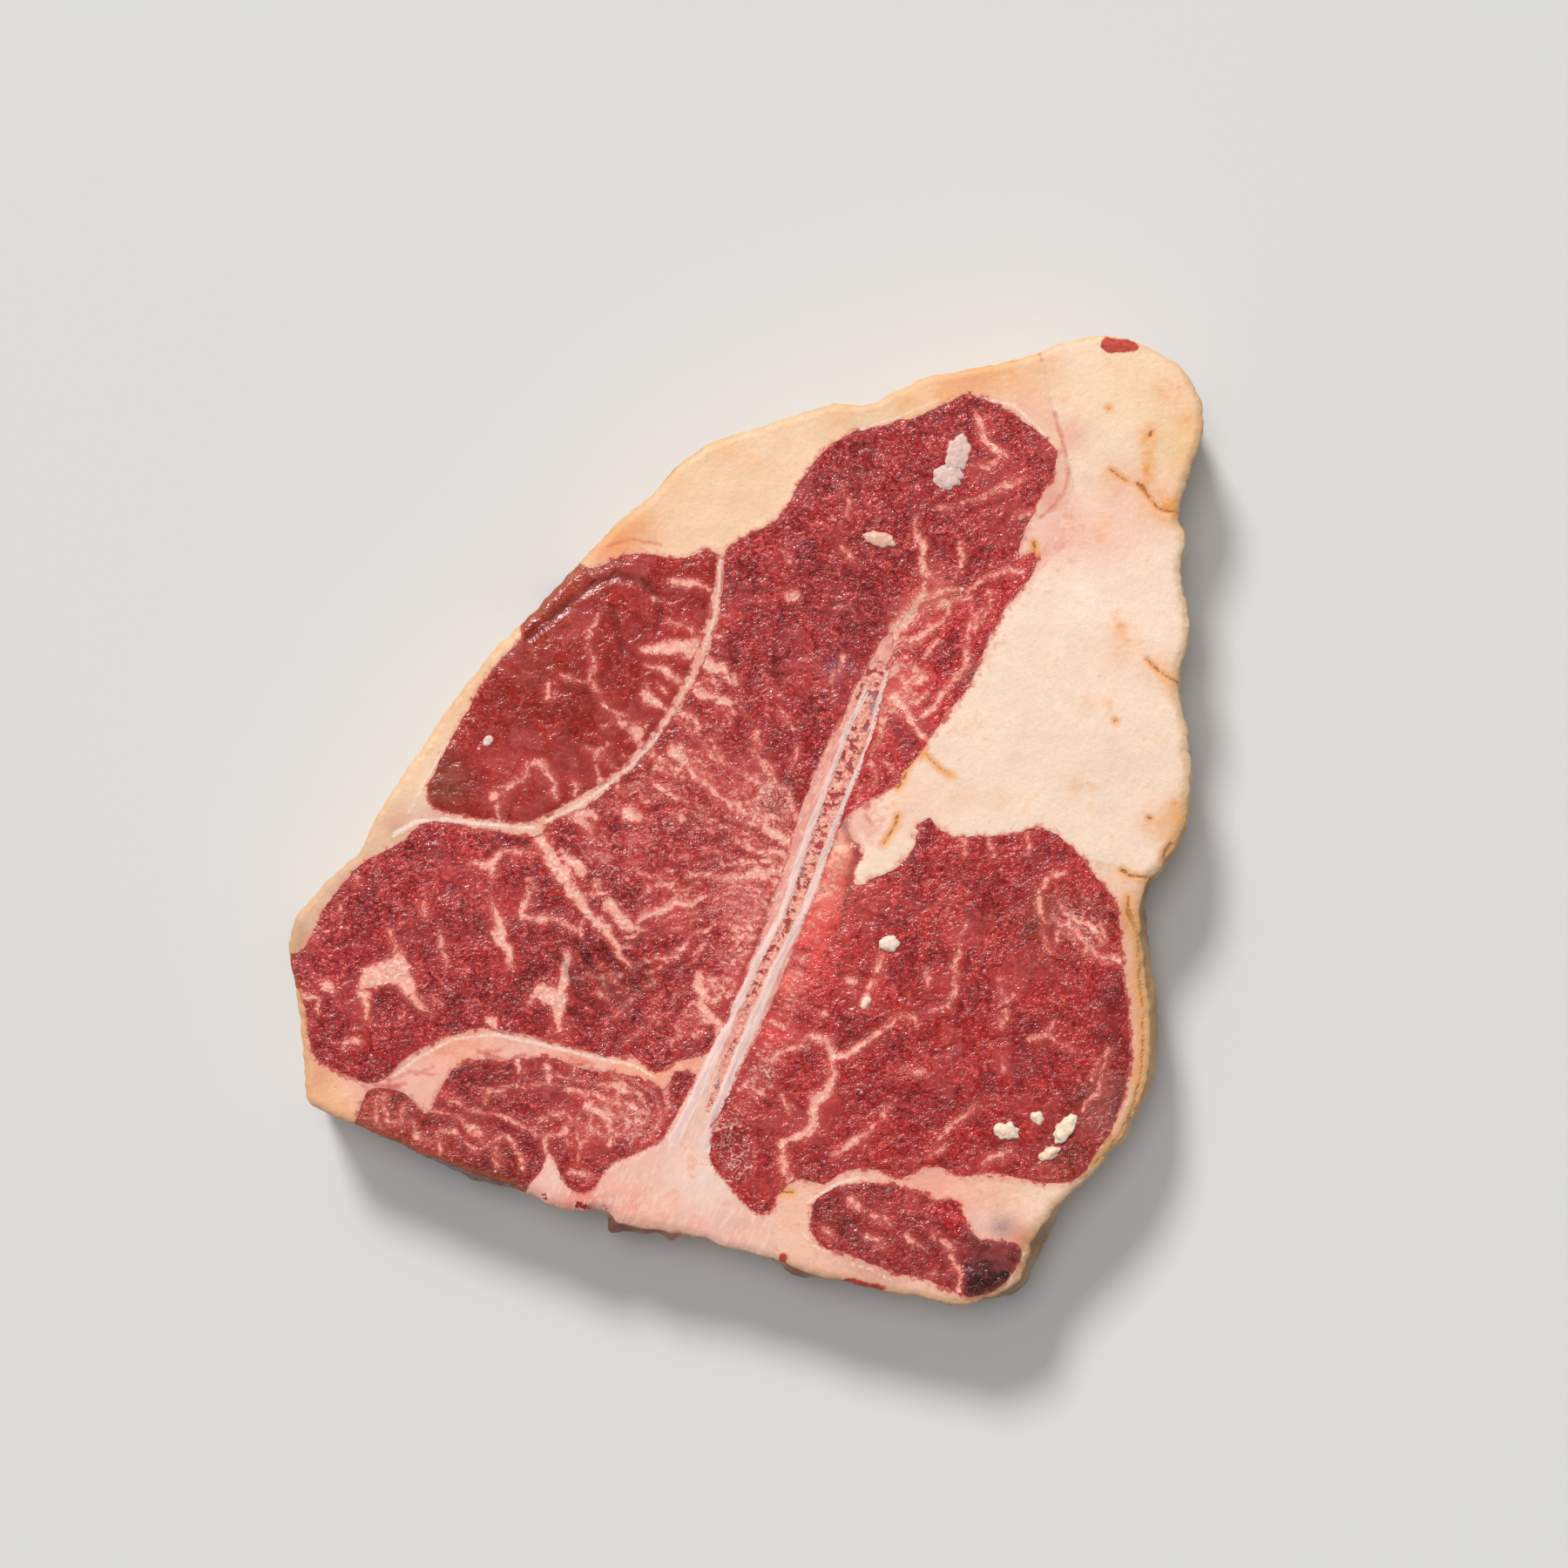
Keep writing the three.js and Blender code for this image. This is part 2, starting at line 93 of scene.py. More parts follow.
# Closed outlines on the upper face, in the order in which each takes its share.
outlines = {
    "edge": [
        (96, 126), (85, 125), (75, 121.5), (65, 118.6), (55, 117), (45, 114.6), (36, 110), (30, 107.6),
        (25, 108), (8, 103.5), (-8, 98), (-17, 92), (-24, 84.8), (-38, 72), (-52, 57.2), (-67, 42.5),
        (-83, 21.3), (-96, 1.5), (-101.5, -8.6), (-110, -16.6), (-118, -26.5), (-119.3, -30.5), (-117.6, -45),
        (-115.9, -60), (-114.4, -73.5), (-112, -75.2), (-105, -78.6), (-90, -84.8), (-74, -90.8), (-62, -95),
        (-51, -100.4), (-45, -101.8), (-39, -101.4), (-28, -105.4), (-17, -107.4), (-6, -111), (8, -114.8),
        (22, -119.6), (42, -123.8), (56, -126.3), (63, -124.6), (69, -120.6), (72, -114), (72.8, -109.6),
        (80, -101.6), (91, -90.6), (98.6, -80), (103, -67), (103.6, -55), (102.2, -36), (101.8, -25),
        (103.4, -17.6), (108.5, -11), (112.4, -5), (114.7, 3), (114.9, 20), (112.4, 32), (112.8, 37.6),
        (115.2, 48), (113.2, 64), (114, 73), (112.4, 79.4), (115.4, 91), (118.8, 101), (118.4, 108.4),
        (114, 117), (106, 122.4),
    ],
    "bone": [
        (38, 48.5), (34, 45), (26.4, 30), (17.3, 11), (10.6, -9), (4.6, -27), (-3.6, -48.5), (-13.6, -68),
        (-20, -80), (-23.6, -84.8), (-30, -87.6), (-36, -90.4), (-40, -96.2), (-44, -98), (-47, -95.6),
        (-49.4, -90), (-51.6, -87), (-53.6, -91.6), (-57.4, -96), (-60, -106), (-5, -122), (7, -124),
        (6.8, -112), (6.2, -105), (2.2, -103.6), (-5, -95.9), (-9.2, -89), (-8.4, -80.5), (-4.4, -71.5),
        (5.4, -51), (12.8, -33), (19.2, -17), (25, 0), (31.4, 18), (36, 33), (38.8, 45),
    ],
    "fillet": [
        (14, -20), (21, -3), (25, -0.6), (27.2, -5), (29.6, -10), (27.8, -13.6), (28.4, -17.2), (33, -15.6),
        (42, -10.2), (45.8, -0.8), (47.6, 0.4), (50, -2.6), (54, -4.6), (67, -4.1), (76, -2.7), (80, -3.4),
        (89, -12.4), (96.3, -22), (97.9, -37), (100, -57), (99.6, -66), (93.8, -83), (85, -94.4), (78, -95),
        (63, -92.4), (56, -93), (48, -90.6), (40, -93.6), (33, -91.2), (27, -91.6), (20, -95), (11.5, -94.2),
        (5.5, -102.6), (2.5, -103), (-4.5, -95.6), (-12, -86), (-4, -65), (6, -40),
    ],
    "side_strap": [
        (41, 54), (50, 59.6), (57, 59.2), (63, 60.6), (72, 68.4), (74.8, 69.5), (75, 65.6), (69, 56.5),
        (63, 47.5), (59, 36.5), (51, 26), (46, 18.4), (41.3, 12.4), (39.3, 9), (30.5, 4.2), (24.6, -0.8),
        (20, 0), (28, 20), (34, 42),
    ],
    "loin": [
        (57.5, 110.8), (51, 107.8), (43, 104.6), (26, 100), (16, 90.8), (8.5, 79), (-2, 73), (-5.6, 69.6),
        (-6.4, 57), (-9.8, 44), (-16.8, 30), (-26.2, 17), (-38, 5.8), (-51, -1.6), (-55, -4.4), (-70, -2.8),
        (-84, -1.2), (-91, -6.6), (-101.5, -12.6), (-111, -25), (-116.4, -34.5), (-124, -36), (-124, -43),
        (-117, -44.5), (-114.4, -57), (-111.6, -63), (-104, -67.3), (-99.5, -68.8), (-94.6, -67.8),
        (-88, -62), (-76, -56), (-66, -54.8), (-52, -57.8), (-37, -61.6), (-28.6, -62.8), (-24, -66.2),
        (-18.5, -63.4), (-9.3, -59.5), (5, -30), (20, 12), (34, 40), (44, 55), (57, 57.4), (66, 60.6),
        (71.4, 66.6), (71, 70.6), (75.6, 82), (80.6, 91), (80.2, 96.5), (73.5, 103),
    ],
    "outer_eye": [
        (-8.6, 69.3), (-14, 69), (-19, 67.6), (-24.5, 69.2), (-30, 69), (-40, 65.6), (-46.5, 67), (-60, 53.4),
        (-59.4, 47.8), (-68, 36.8), (-75, 24), (-81.8, 11.5), (-83, 7), (-81.4, 2.8), (-70, 0.2), (-56, -0.6),
        (-47, 4.2), (-35, 11.4), (-24.8, 22.4), (-16.6, 36), (-11, 50), (-8.8, 60),
    ],
    "chine_muscle": [
        (-98.5, -70.6), (-89, -71.8), (-83.6, -76.6), (-78.6, -68.4), (-75.5, -64.8), (-70, -63),
        (-57, -62.4), (-51, -62.4), (-44, -64.8), (-29, -67), (-22, -70.4), (-18.6, -66.4), (-12, -68),
        (-18, -84), (-24, -90), (-34, -98), (-44, -104), (-57, -108), (-80, -98), (-103, -86), (-100.8, -76),
    ],
    "chain": [
        (16.6, -103), (18.4, -98.6), (28, -95.2), (41, -96.2), (50, -99.6), (54.5, -99.6), (58.4, -107),
        (62, -109.8), (70, -111), (71, -114), (66, -122), (60.5, -124.4), (55.5, -124), (46, -119.6),
        (39, -118.6), (27, -113.8), (18.6, -110.4),
    ],
    "suet": [
        (76, 145), (77, 121), (80.4, 105), (83.4, 95), (85, 87), (82.4, 81), (76, 79), (60, 70), (28, 26),
        (2, -50), (40, -45), (80, -20), (87, -10.4), (92, -10.6), (96, -12), (99, -15), (103.4, -16),
        (112, -17), (145, -17), (145, 145),
    ],
    "fillet_fat": [
        (60, -40), (80, -19), (86, -9), (92, -10.2), (96, -11.6), (99, -14.6), (103.4, -15.6), (145, -16),
        (145, -145), (-15, -145), (-15, -95), (20, -70),
    ],
    "chine_fat": [
        (-140, -40), (-120, -40), (-100, -50), (-30, -50), (-10, -62), (-20, -95), (-40, -145), (-140, -145),
    ],
}
straightOutlines = ("suet", "fillet_fat", "chine_fat")   # shares between two bodies of fat, not seen as edges

# Places where the side stands out past the upper face or hangs back under it: x, y, reach, out.
sideSwells = [
    (104, -50, 34, 3.4), (77, -110, 7, 6.2), (70, -122, 7, 3.2), (-72, -92, 12, 2.2), (-33, -103.6, 3.4, 5.0),
    (-27, -106, 3.0, 2.6), (-19.6, -107.4, 3.6, 3.0), (14, -117, 6, 2.4), (-95, 0, 70, -2.2),
    (60, 120, 60, -1.6),
]
# Swells and dips of the upper face: x, y, reach, rise.
faceSwells = [
    (55, -48, 34, 1.3), (-48, 36, 22, 1.2), (-82, -34, 26, 0.9), (30, 76, 26, 0.9), (92, 30, 30, 1.4),
    (98, 106, 18, 1.1), (-34, -50, 14, -1.1), (-52, -78, 22, 0.7), (40, -108, 16, 0.8),
]

# Threads and patches of fat in the lean, each with its width at both ends and its route.
marbling = [
    # loin, far left
    (3.15, 3.15, (-68, -12.5), (-67, -12.5)), (1.47, 0.74, (-68, -12), (-72, -12)),
    (1.47, 0.74, (-67, -12), (-64, -9.5), (-57, -8.5)), (1.39, 0.55, (-67.5, -13), (-66.5, -16.5)),
    (0.9, 3.2, (-67, -20.7), (-65.6, -25), (-64.4, -29)),
    (3.4, 1.3, (-64.2, -30), (-62.7, -34), (-61.7, -38.6)),
    (0.93, 2.04, (-56.5, -16), (-57, -21), (-58.5, -25)),
    (2.23, 1.3, (-58.5, -26), (-55, -26.5), (-50, -26), (-46.5, -28), (-43.5, -29.3)),
    (1.11, 0.74, (-43.5, -29), (-42.5, -26.5)), (0.74, 1.3, (-92, -31), (-90.5, -35), (-88.5, -40)),
    (1.3, 0.74, (-88.5, -40), (-87, -45), (-84, -48), (-82.5, -51)),
    (5.0, 6.4, (-99, -42), (-95, -40), (-91, -39.6)), (4.8, 1.2, (-90, -40), (-88, -45), (-84.6, -49.6)),
    (2.6, 1.5, (-100, -44), (-99.6, -48), (-99.3, -51.5)),
    (1.4, 0.9, (-91, -36), (-91.6, -32), (-92.5, -29.6)),
    (2.04, 1.3, (-116, -46), (-112, -47), (-112.3, -50)), (2.4, 1.47, (-110, -44), (-108, -44.5)),
    (5.2, 5.6, (-52.6, -45.4), (-49.4, -46)), (3.4, 2.4, (-47.8, -44), (-47.6, -39), (-46.6, -35.5)),
    (3.6, 1.0, (-49.6, -48), (-48.9, -53), (-48.6, -56)), (1.6, 1.0, (-55, -46), (-57, -48)),
    (0.74, 0.55, (-80, -30), (-79.5, -35), (-78, -38.5)), (1.11, 0.74, (-107, -22), (-106.5, -25)),
    (1.01, 0.65, (-102, -15), (-101, -18)), (1.01, 0.65, (-84.5, -22), (-83.5, -25)),
    (0.93, 0.74, (-82, -46), (-80, -49)), (2.96, 2.23, (-66.5, -53.5), (-66, -55)),
    (1.11, 1.11, (-105, -60), (-101, -58)),
    # loin, branch of the seam and the lean round it
    (2.6, 4.0, (-55, -2), (-53, -7), (-49.6, -12)), (4.0, 3.4, (-49.6, -12), (-45, -19), (-41, -24.5)),
    (3.4, 0.9, (-41, -24.5), (-37.2, -29), (-33.5, -34.5), (-30.4, -39)), (3.15, 2.4, (-47, -10), (-43, -14)),
    (3.15, 3.15, (-36, -22), (-34, -26), (-31, -28)), (1.66, 0.93, (-31, -28.5), (-26, -28.5)),
    (1.39, 0.93, (-38.8, -17), (-37.5, -20)), (2.31, 1.66, (-27.5, -26), (-22, -23.5), (-18.5, -22.5)),
    (1.66, 0.93, (-18.5, -22.5), (-14.5, -22), (-10, -20)),
    (1.39, 0.93, (-22, -37), (-18.5, -36), (-15.5, -32.5)), (1.3, 1.66, (-15, -14.5), (-8, -15), (-2, -15)),
    (1.6, 2.2, (-2, -15), (5, -14), (10, -12.6)), (1.2, 2.4, (-3, -5.6), (3, -8), (10, -10)),
    (1.4, 3.2, (-1, 2), (4, -1.6), (11, -7)), (1.85, 1.47, (-20, 18), (-17, 16), (-14, 12), (-10, 8)),
    (1.47, 1.66, (-10, 8), (-5, 5), (-1, 2), (3, -1), (6, -3)), (3.7, 2.78, (-19, 17.8), (-17.5, 17)),
    (1.66, 1.11, (-25, 10), (-21, 7.5), (-18.5, 5.5)), (1.2, 0.93, (-24, 13), (-19, 11)),
    (1.2, 0.93, (-22, 14), (-16, 12)), (3.15, 2.23, (-43, 2), (-40, 0)), (3.15, 2.23, (-31, 2), (-28, 0)),
    (2.23, 1.85, (-17.8, 0.5), (-17, 0.5)), (1.47, 1.11, (1, 10), (4, 9), (8, 9), (11, 7)),
    (1.3, 0.93, (1, 4), (5, 0.5), (10, 0)), (1.11, 0.93, (4, 9), (3, 5)), (1.11, 0.84, (11, 7), (11.5, 2)),
    (1.47, 1.11, (0, -1), (4, -2.5), (9, -4)), (2.4, 2.96, (-12, -41), (-12, -47), (-9, -52), (-7, -55)),
    (2.23, 2.23, (-9.8, -42), (-9.2, -42.5)), (1.11, 0.74, (-3, -43), (-4, -46)),
    (0.93, 0.55, (-39, -45), (-37, -47)), (1.2, 0.93, (36.4, 47.5), (40, 52), (43.6, 57)),
    (1.3, 0.93, (39, 46), (43, 51), (47, 55.5)), (1.47, 0.93, (45, 57), (50, 59), (56, 60)),
    (1.09, 0.63, (4, -19), (-1, -17.5), (-5, -16)), (1.09, 0.63, (3, -24), (-3, -23), (-8, -20.5)),
    (1.17, 0.63, (1, -29), (-4, -28.5), (-9, -27)), (1.11, 0.55, (-1, -34), (-6, -34), (-10, -33)),
    (1.17, 0.63, (6, -11), (1, -11.5), (-4, -11)),
    # loin, upper part
    (4.4, 1.6, (-11.6, 41.4), (-7, 39), (-2.4, 35.6)), (2.4, 2.8, (-12.6, 33.4), (-9, 32), (-5.4, 30.4)),
    (1.85, 0.93, (-11, 48), (-6, 47)), (1.8, 0.7, (-15, 35), (-11, 36), (-8, 35.6)),
    (1.8, 0.6, (-19, 27.4), (-15.6, 27.4), (-12, 24)), (1.4, 0.5, (-26, 18), (-21.6, 15)),
    (1.3, 0.5, (-35, 10), (-31.6, 6)), (1.8, 0.6, (-47, 2), (-42, -1.6), (-39.6, -5)),
    (1.4, 0.6, (-9, 52), (-5, 53)), (1.2, 0.5, (-8, 60), (-4.6, 61)), (0.8, 0.5, (13.3, 18.6), (11.6, 13)),
    (0.8, 0.5, (2.6, 23), (2, 18)), (2.96, 2.59, (11.6, 58.5), (12.6, 58.5)),
    (1.11, 1.85, (44.8, 78), (44.8, 75), (46, 70)), (1.85, 1.11, (46, 70), (46.5, 64), (50, 61)),
    (1.11, 1.66, (60, 105.7), (60.9, 102.5), (63.9, 98.1), (66.6, 94.9)),
    (1.66, 0.93, (66.6, 94.9), (65.5, 92.7), (59.5, 91.6)),
    (0.93, 0.65, (72.5, 88.9), (66, 86.2), (58.4, 82.4), (49.2, 80.8)),
    (0.93, 0.65, (56, 72), (56, 66), (54, 62)), (0.74, 0.55, (25.5, 87), (27, 83), (26.5, 79)),
    (1.11, 0.74, (25, 71), (28, 68), (29, 66)), (0.65, 0.46, (9.5, 70), (11, 67)),
    (0.74, 0.55, (9, 28), (11, 25.5), (13, 23)), (0.84, 0.55, (25, 42), (22.5, 36)),
    (2.23, 1.66, (71.5, 79.5), (74.5, 79.5)),
    # outer eye
    (0.93, 0.65, (-39, 52), (-41, 48), (-41.5, 44)), (0.93, 0.93, (-49, 37), (-45, 36), (-40, 36), (-38, 31)),
    (0.93, 1.2, (-38, 31), (-34, 27), (-30, 22)), (3.51, 3.33, (-29.4, 22.8), (-28.4, 22)),
    (1.2, 0.74, (-51.5, 35), (-52.5, 31.5)), (1.3, 1.11, (-50.2, 31.7), (-49.8, 31.7)),
    (1.57, 1.47, (-66, 6), (-62, 8.5), (-59, 10), (-57, 14)),
    (1.47, 1.3, (-57, 14), (-54, 15), (-52, 13), (-51, 9), (-50, 6)), (1.66, 1.3, (-65, 5), (-64.5, 1)),
    (5.6, 1.5, (-13.6, 44), (-20, 44), (-27, 44.4)), (2.2, 0.8, (-18, 36), (-22, 39.4), (-26, 40)),
    (1.8, 1.4, (-19, 61.7), (-14, 61.2), (-10, 60.2)), (1.5, 0.6, (-13, 49), (-17, 51), (-21, 50.6)),
    (1.4, 0.5, (-21, 29), (-26, 30)), (2.0, 0.8, (-27, 19.6), (-30, 23)), (1.3, 0.5, (-38, 9.5), (-40, 14)),
    (1.5, 0.5, (-44, 6), (-45.4, 10)), (0.7, 0.5, (-38.9, 52.8), (-41, 47), (-40, 40), (-40, 35)),
    (2.4, 2.4, (-26, 32.5), (-23, 30)), (1.11, 0.93, (-24.2, 57.5), (-23.8, 57.3)),
    (1.11, 0.74, (-40, 16), (-36, 20)),
    # strap of lean beside the bone
    (1.4, 1.7, (58, 47), (57.8, 42.6), (56.6, 38.4)),
    (1.7, 1.9, (56.6, 38.4), (52, 33.6), (49, 29.4), (46, 27.2)),
    (4.6, 3.0, (37.4, 46), (40.4, 50.4), (43.2, 54.6)), (3.0, 2.0, (43.2, 54.6), (45, 58), (46, 61)),
    (1.8, 1.2, (37.6, 45.2), (43, 46.8), (47.6, 48.8)), (1.6, 1.2, (47.6, 48.8), (51, 51.4), (53, 54)),
    (3.0, 1.6, (51, 56.2), (54, 55.8)), (1.0, 0.9, (54.2, 57.5), (62, 62.4), (69.8, 65.2)),
    (1.8, 1.4, (69, 64.8), (71, 65.4)), (1.0, 0.8, (63.6, 59), (63.6, 55), (62, 51)),
    (1.1, 0.8, (60, 53), (59.4, 49)), (3.8, 2.0, (38, 31.6), (40.6, 29), (43, 26)),
    (2.2, 1.0, (43, 26), (45.4, 23), (46.4, 20.6)), (2.0, 1.2, (37, 38), (40.6, 40), (44.4, 38)),
    (1.6, 0.8, (35.4, 26), (34.4, 21), (33, 17)), (1.2, 0.7, (32, 14), (34, 11.6), (33, 8.6)),
    (1.0, 0.6, (36, 15), (38.4, 12)), (1.0, 0.6, (30, 8), (29, 4.6)),
    (1.12, 1.12, (36, 29), (39, 27.6), (42, 29.6), (43, 33), (41, 36.4), (38, 38)),
    (0.75, 0.62, (39, 33), (42, 34.4), (45, 38)), (1, 0.88, (37, 44), (42, 44.6), (46, 47), (48, 51)),
    (1.5, 1.25, (51, 56), (54, 57), (58, 58.4)), (0.75, 0.62, (57, 44), (58, 50), (59, 56)),
    (0.62, 0.5, (40, 40.4), (44, 40)), (2.04, 1.3, (46, 37), (42, 34), (39, 29)),
    (1.47, 0.93, (47, 33), (43, 30)), (1.3, 0.74, (50, 46), (46, 42)), (0.93, 0.65, (62, 55), (58, 51)),
    # fillet
    (2.17, 1.44, (22, -62), (26, -61.5), (30, -59.5), (34, -56.5)),
    (1.44, 1.09, (34, -56.5), (38, -53), (41, -51.3), (44.5, -51.5), (45, -53.5)),
    (1.62, 1.81, (6.5, -63), (11, -60), (14, -58.5), (17, -57)),
    (1.81, 1.99, (17, -57), (19, -58), (21.5, -58.5), (22, -62)),
    (1.99, 2.71, (22, -63), (22, -68), (21, -71.5), (18, -74)),
    (2.71, 1.99, (18, -74), (17.5, -79), (14, -83), (10, -84.5)),
    (1.99, 2.34, (10, -84.5), (9.5, -90), (11, -94), (12, -96)),
    (0.9, 0.82, (48, -50.5), (52, -48.5), (55, -45), (54, -40)),
    (0.82, 0.63, (54, -40), (54.5, -37), (56, -31), (57, -27.5)), (0.63, 0.63, (66, -42), (66.5, -48)),
    (1.62, 1.09, (65.5, -53.5), (68, -50.5)), (0.72, 0.54, (67, -48), (70, -46)),
    (1.62, 1.27, (23, -88.5), (27.3, -84.7), (31.9, -81.6), (33.5, -80)),
    (1.09, 0.72, (36, -77), (37.5, -74.5)), (1.17, 0.9, (50, -83), (53, -80.5), (57, -77.5), (59.5, -75)),
    (0.9, 0.63, (48, -88), (52, -85.5)), (1.35, 0.9, (62, -90), (66, -88), (69.5, -86.5)),
    (0.72, 0.72, (40, -65.5), (46, -65.5)), (0.72, 0.54, (66, -62), (68, -66)),
    (0.82, 0.63, (74, -57.5), (78, -57), (82, -58.5), (86, -61)), (0.72, 0.54, (80, -53), (78.5, -57)),
    (1.09, 0.9, (83, -14), (79, -15), (77.5, -18)), (0.84, 0.46, (57, -5), (57, -10)),
    (0.84, 0.46, (64, -5), (64, -10)), (0.84, 0.46, (73.5, -4), (73.5, -9)),
    (1.35, 0.9, (35, -36), (34, -39.5)), (1.35, 1.09, (31, -49), (30.5, -46), (34, -42)),
    (1.99, 1.81, (27.2, -41.5), (27.8, -41.5)), (0.82, 0.63, (47, -40), (47.5, -44)),
    (0.82, 0.63, (19, -52), (21, -50.5)), (1.18, 0.89, (-2, -70.5), (1, -68), (3, -66.5)),
    (1.09, 0.82, (9, -72), (11.5, -76.5)), (1.09, 0.9, (82, -22), (84, -25), (83, -28), (86, -29)),
    (1.09, 1.44, (86, -29), (88, -31), (90, -33), (88, -35)), (0.82, 0.63, (77, -30), (79, -34)),
    (1.62, 1.62, (90, -33), (92, -36), (97, -37)), (0.9, 0.72, (92, -27), (94, -32)),
    (1.4, 0.8, (83, -24), (86, -26.4), (87, -30)), (1.2, 0.7, (84, -30), (88, -31.6)),
    (1.6, 0.8, (87, -27), (91, -29), (93, -33)), (1.0, 0.6, (76, -19), (76.4, -24), (78, -27)),
    (0.9, 0.6, (80, -26), (82, -29), (81, -32)), (0.9, 0.7, (94.6, -60), (93, -66), (91.4, -72)),
    (0.9, 0.6, (90, -68), (92, -63)), (0.8, 0.6, (88, -76), (90.6, -72)),
    # chine
    (0.7, 0.6, (-80, -71), (-74, -75), (-68, -77.5), (-64, -77.5)),
    (0.6, 1.0, (-64, -77.5), (-60, -78.5), (-56, -82), (-53, -83.5)),
    (1.18, 1.04, (-53, -83.5), (-48, -82.5), (-45.5, -79), (-48, -76.5)),
    (1.04, 0.74, (-48, -76.5), (-53, -78), (-56, -80)), (0.74, 0.67, (-68, -71), (-58, -70), (-50, -69.5)),
    (0.67, 0.52, (-67, -71), (-68, -74)), (0.81, 0.74, (-79, -81), (-74, -83), (-70, -87), (-68, -85)),
    (0.74, 0.89, (-68, -85), (-65, -83.3), (-61, -84)), (0.89, 0.67, (-61, -84), (-59, -88), (-58, -91)),
    (0.74, 0.59, (-66, -86), (-64, -91)), (0.74, 0.59, (-80, -82), (-80.5, -88)),
    (1.6, 2.2, (-52.4, -84.6), (-51.6, -88.6)),
    (0.7, 0.5, (-34, -66.5), (-29, -68), (-25, -71), (-22.5, -75), (-23, -80), (-25, -84)),
    (0.8, 0.5, (-36, -69), (-31, -70), (-27.5, -73), (-25.8, -77), (-27, -82)),
    (0.7, 0.6, (-33, -71), (-33.5, -75), (-31, -79), (-31, -83)),
    (0.6, 0.5, (-30, -74), (-28.5, -76.5), (-29, -81), (-30, -85)),
    (0.8, 0.6, (-37, -73), (-36, -78), (-35, -83), (-36, -86)),
    (0.8, 0.6, (-40, -75), (-41, -79), (-42, -84)), (0.9, 0.7, (-44, -78), (-44, -83), (-43.6, -90)),
    (0.8, 0.6, (-46, -80), (-47, -85)), (0.9, 0.6, (-20, -66), (-21.5, -71), (-20.4, -76)),
    (2.2, 1.0, (-59.6, -62), (-59, -65.5)), (1.4, 1.9, (-52, -64), (-51.5, -69)),
    (1.8, 1.2, (-46, -63.6), (-45, -65.4)), (1.0, 0.8, (-72, -62.6), (-63, -61.5)),
    (0.9, 0.7, (-36, -66), (-33, -70), (-34, -74), (-38, -75.5)),
    (0.7, 0.6, (-84, -76), (-78, -77), (-72, -80), (-69, -83)),
    (0.6, 0.5, (-88, -79), (-86, -83), (-80, -85)), (0.7, 0.5, (-96, -73), (-98, -77), (-95, -81)),
    (0.89, 0.74, (-94, -72), (-95, -76), (-93, -79.5)), (0.74, 0.74, (-93, -79.5), (-90, -79), (-89, -75)),
    (3.26, 2.66, (-41, -75.5), (-36, -77.5)),
    (0.81, 0.67, (-50, -66.5), (-42, -68.5), (-34, -70), (-28, -72)),
    (0.81, 0.67, (-47, -71), (-40, -72), (-33, -74), (-27, -77)),
    (0.89, 0.67, (-42, -81), (-36, -82.5), (-29, -82)), (0.74, 0.59, (-31, -74), (-27, -80), (-27, -84)),
    (1.18, 0.89, (-46, -92), (-42, -92.6), (-40, -94)),
    # chain
    (1.09, 1.09, (49, -108), (52, -111), (54, -116)), (1.09, 0.9, (54, -116), (56, -119.5), (55.5, -122.5)),
    (1.09, 0.72, (20, -107), (22, -109)), (1.09, 0.82, (42, -109), (44, -111), (47, -112)),
    (1.09, 0.9, (48, -119), (49, -118)), (1.27, 0.9, (27, -99), (30, -102)),
    (0.82, 0.63, (33, -103), (37, -106)), (0.82, 0.63, (31, -109), (36, -112)),
]

# Cracks in the fat, given in the same way as the threads.
fatCracks = [
    (0.3, 0.3, (95, 91), (97, 89.4), (99.4, 88)),
    (0.5, 0.4, (102, 87.5), (105, 84), (107, 81.3), (109, 80.3), (113, 80)),
    (0.8, 0.6, (103.4, 86.8), (104.2, 85.4)), (0.9, 0.9, (105.3, 99.8), (105.6, 100.6)),
    (0.4, 0.5, (104.5, 41.5), (108, 38), (112.5, 35.5)),
    (0.6, 0.4, (45.5, 17), (43, 15.7), (41, 10.5), (39.5, 8)), (0.2, 0.1, (46.5, 17), (51, 12.5), (54, 11)),
    (0.5, 0.4, (39.6, 0.8), (38.8, -2), (37, -4.5), (35.8, -6.5)),
    (0.6, 0.5, (98, -13.5), (100, -14.8), (105, -15.4)), (0.9, 0.6, (99.6, -24), (101, -29)),
    (0.6, 0.4, (75, 72), (75.4, 69.6)), (0.4, 0.4, (96.2, 25.4), (96.2, 25.6)),
    (0.5, 0.5, (94.5, 107), (94.6, 107)), (0.6, 0.6, (105, 0), (105.4, 0)),
    (0.4, 0.4, (111.6, 3.8), (111.8, 3.8)), (0.9, 0.5, (110.6, -6.5), (109, -8.5), (108.4, -10.5)),
    (0.2, 0.2, (66.8, 119.5), (70, 120)), (0.5, 0.4, (8, -97.4), (12, -97.6)),
    (0.6, 0.6, (99.4, -20.6), (99.2, -25), (101, -28.6), (101.6, -33), (101.8, -42), (102.6, -49)),
    (0.4, 0.5, (102.6, -52), (102.8, -60), (102.3, -67), (100.4, -75)),
    (0.5, 0.4, (100.4, -75), (96.6, -83), (90.6, -90)),
]
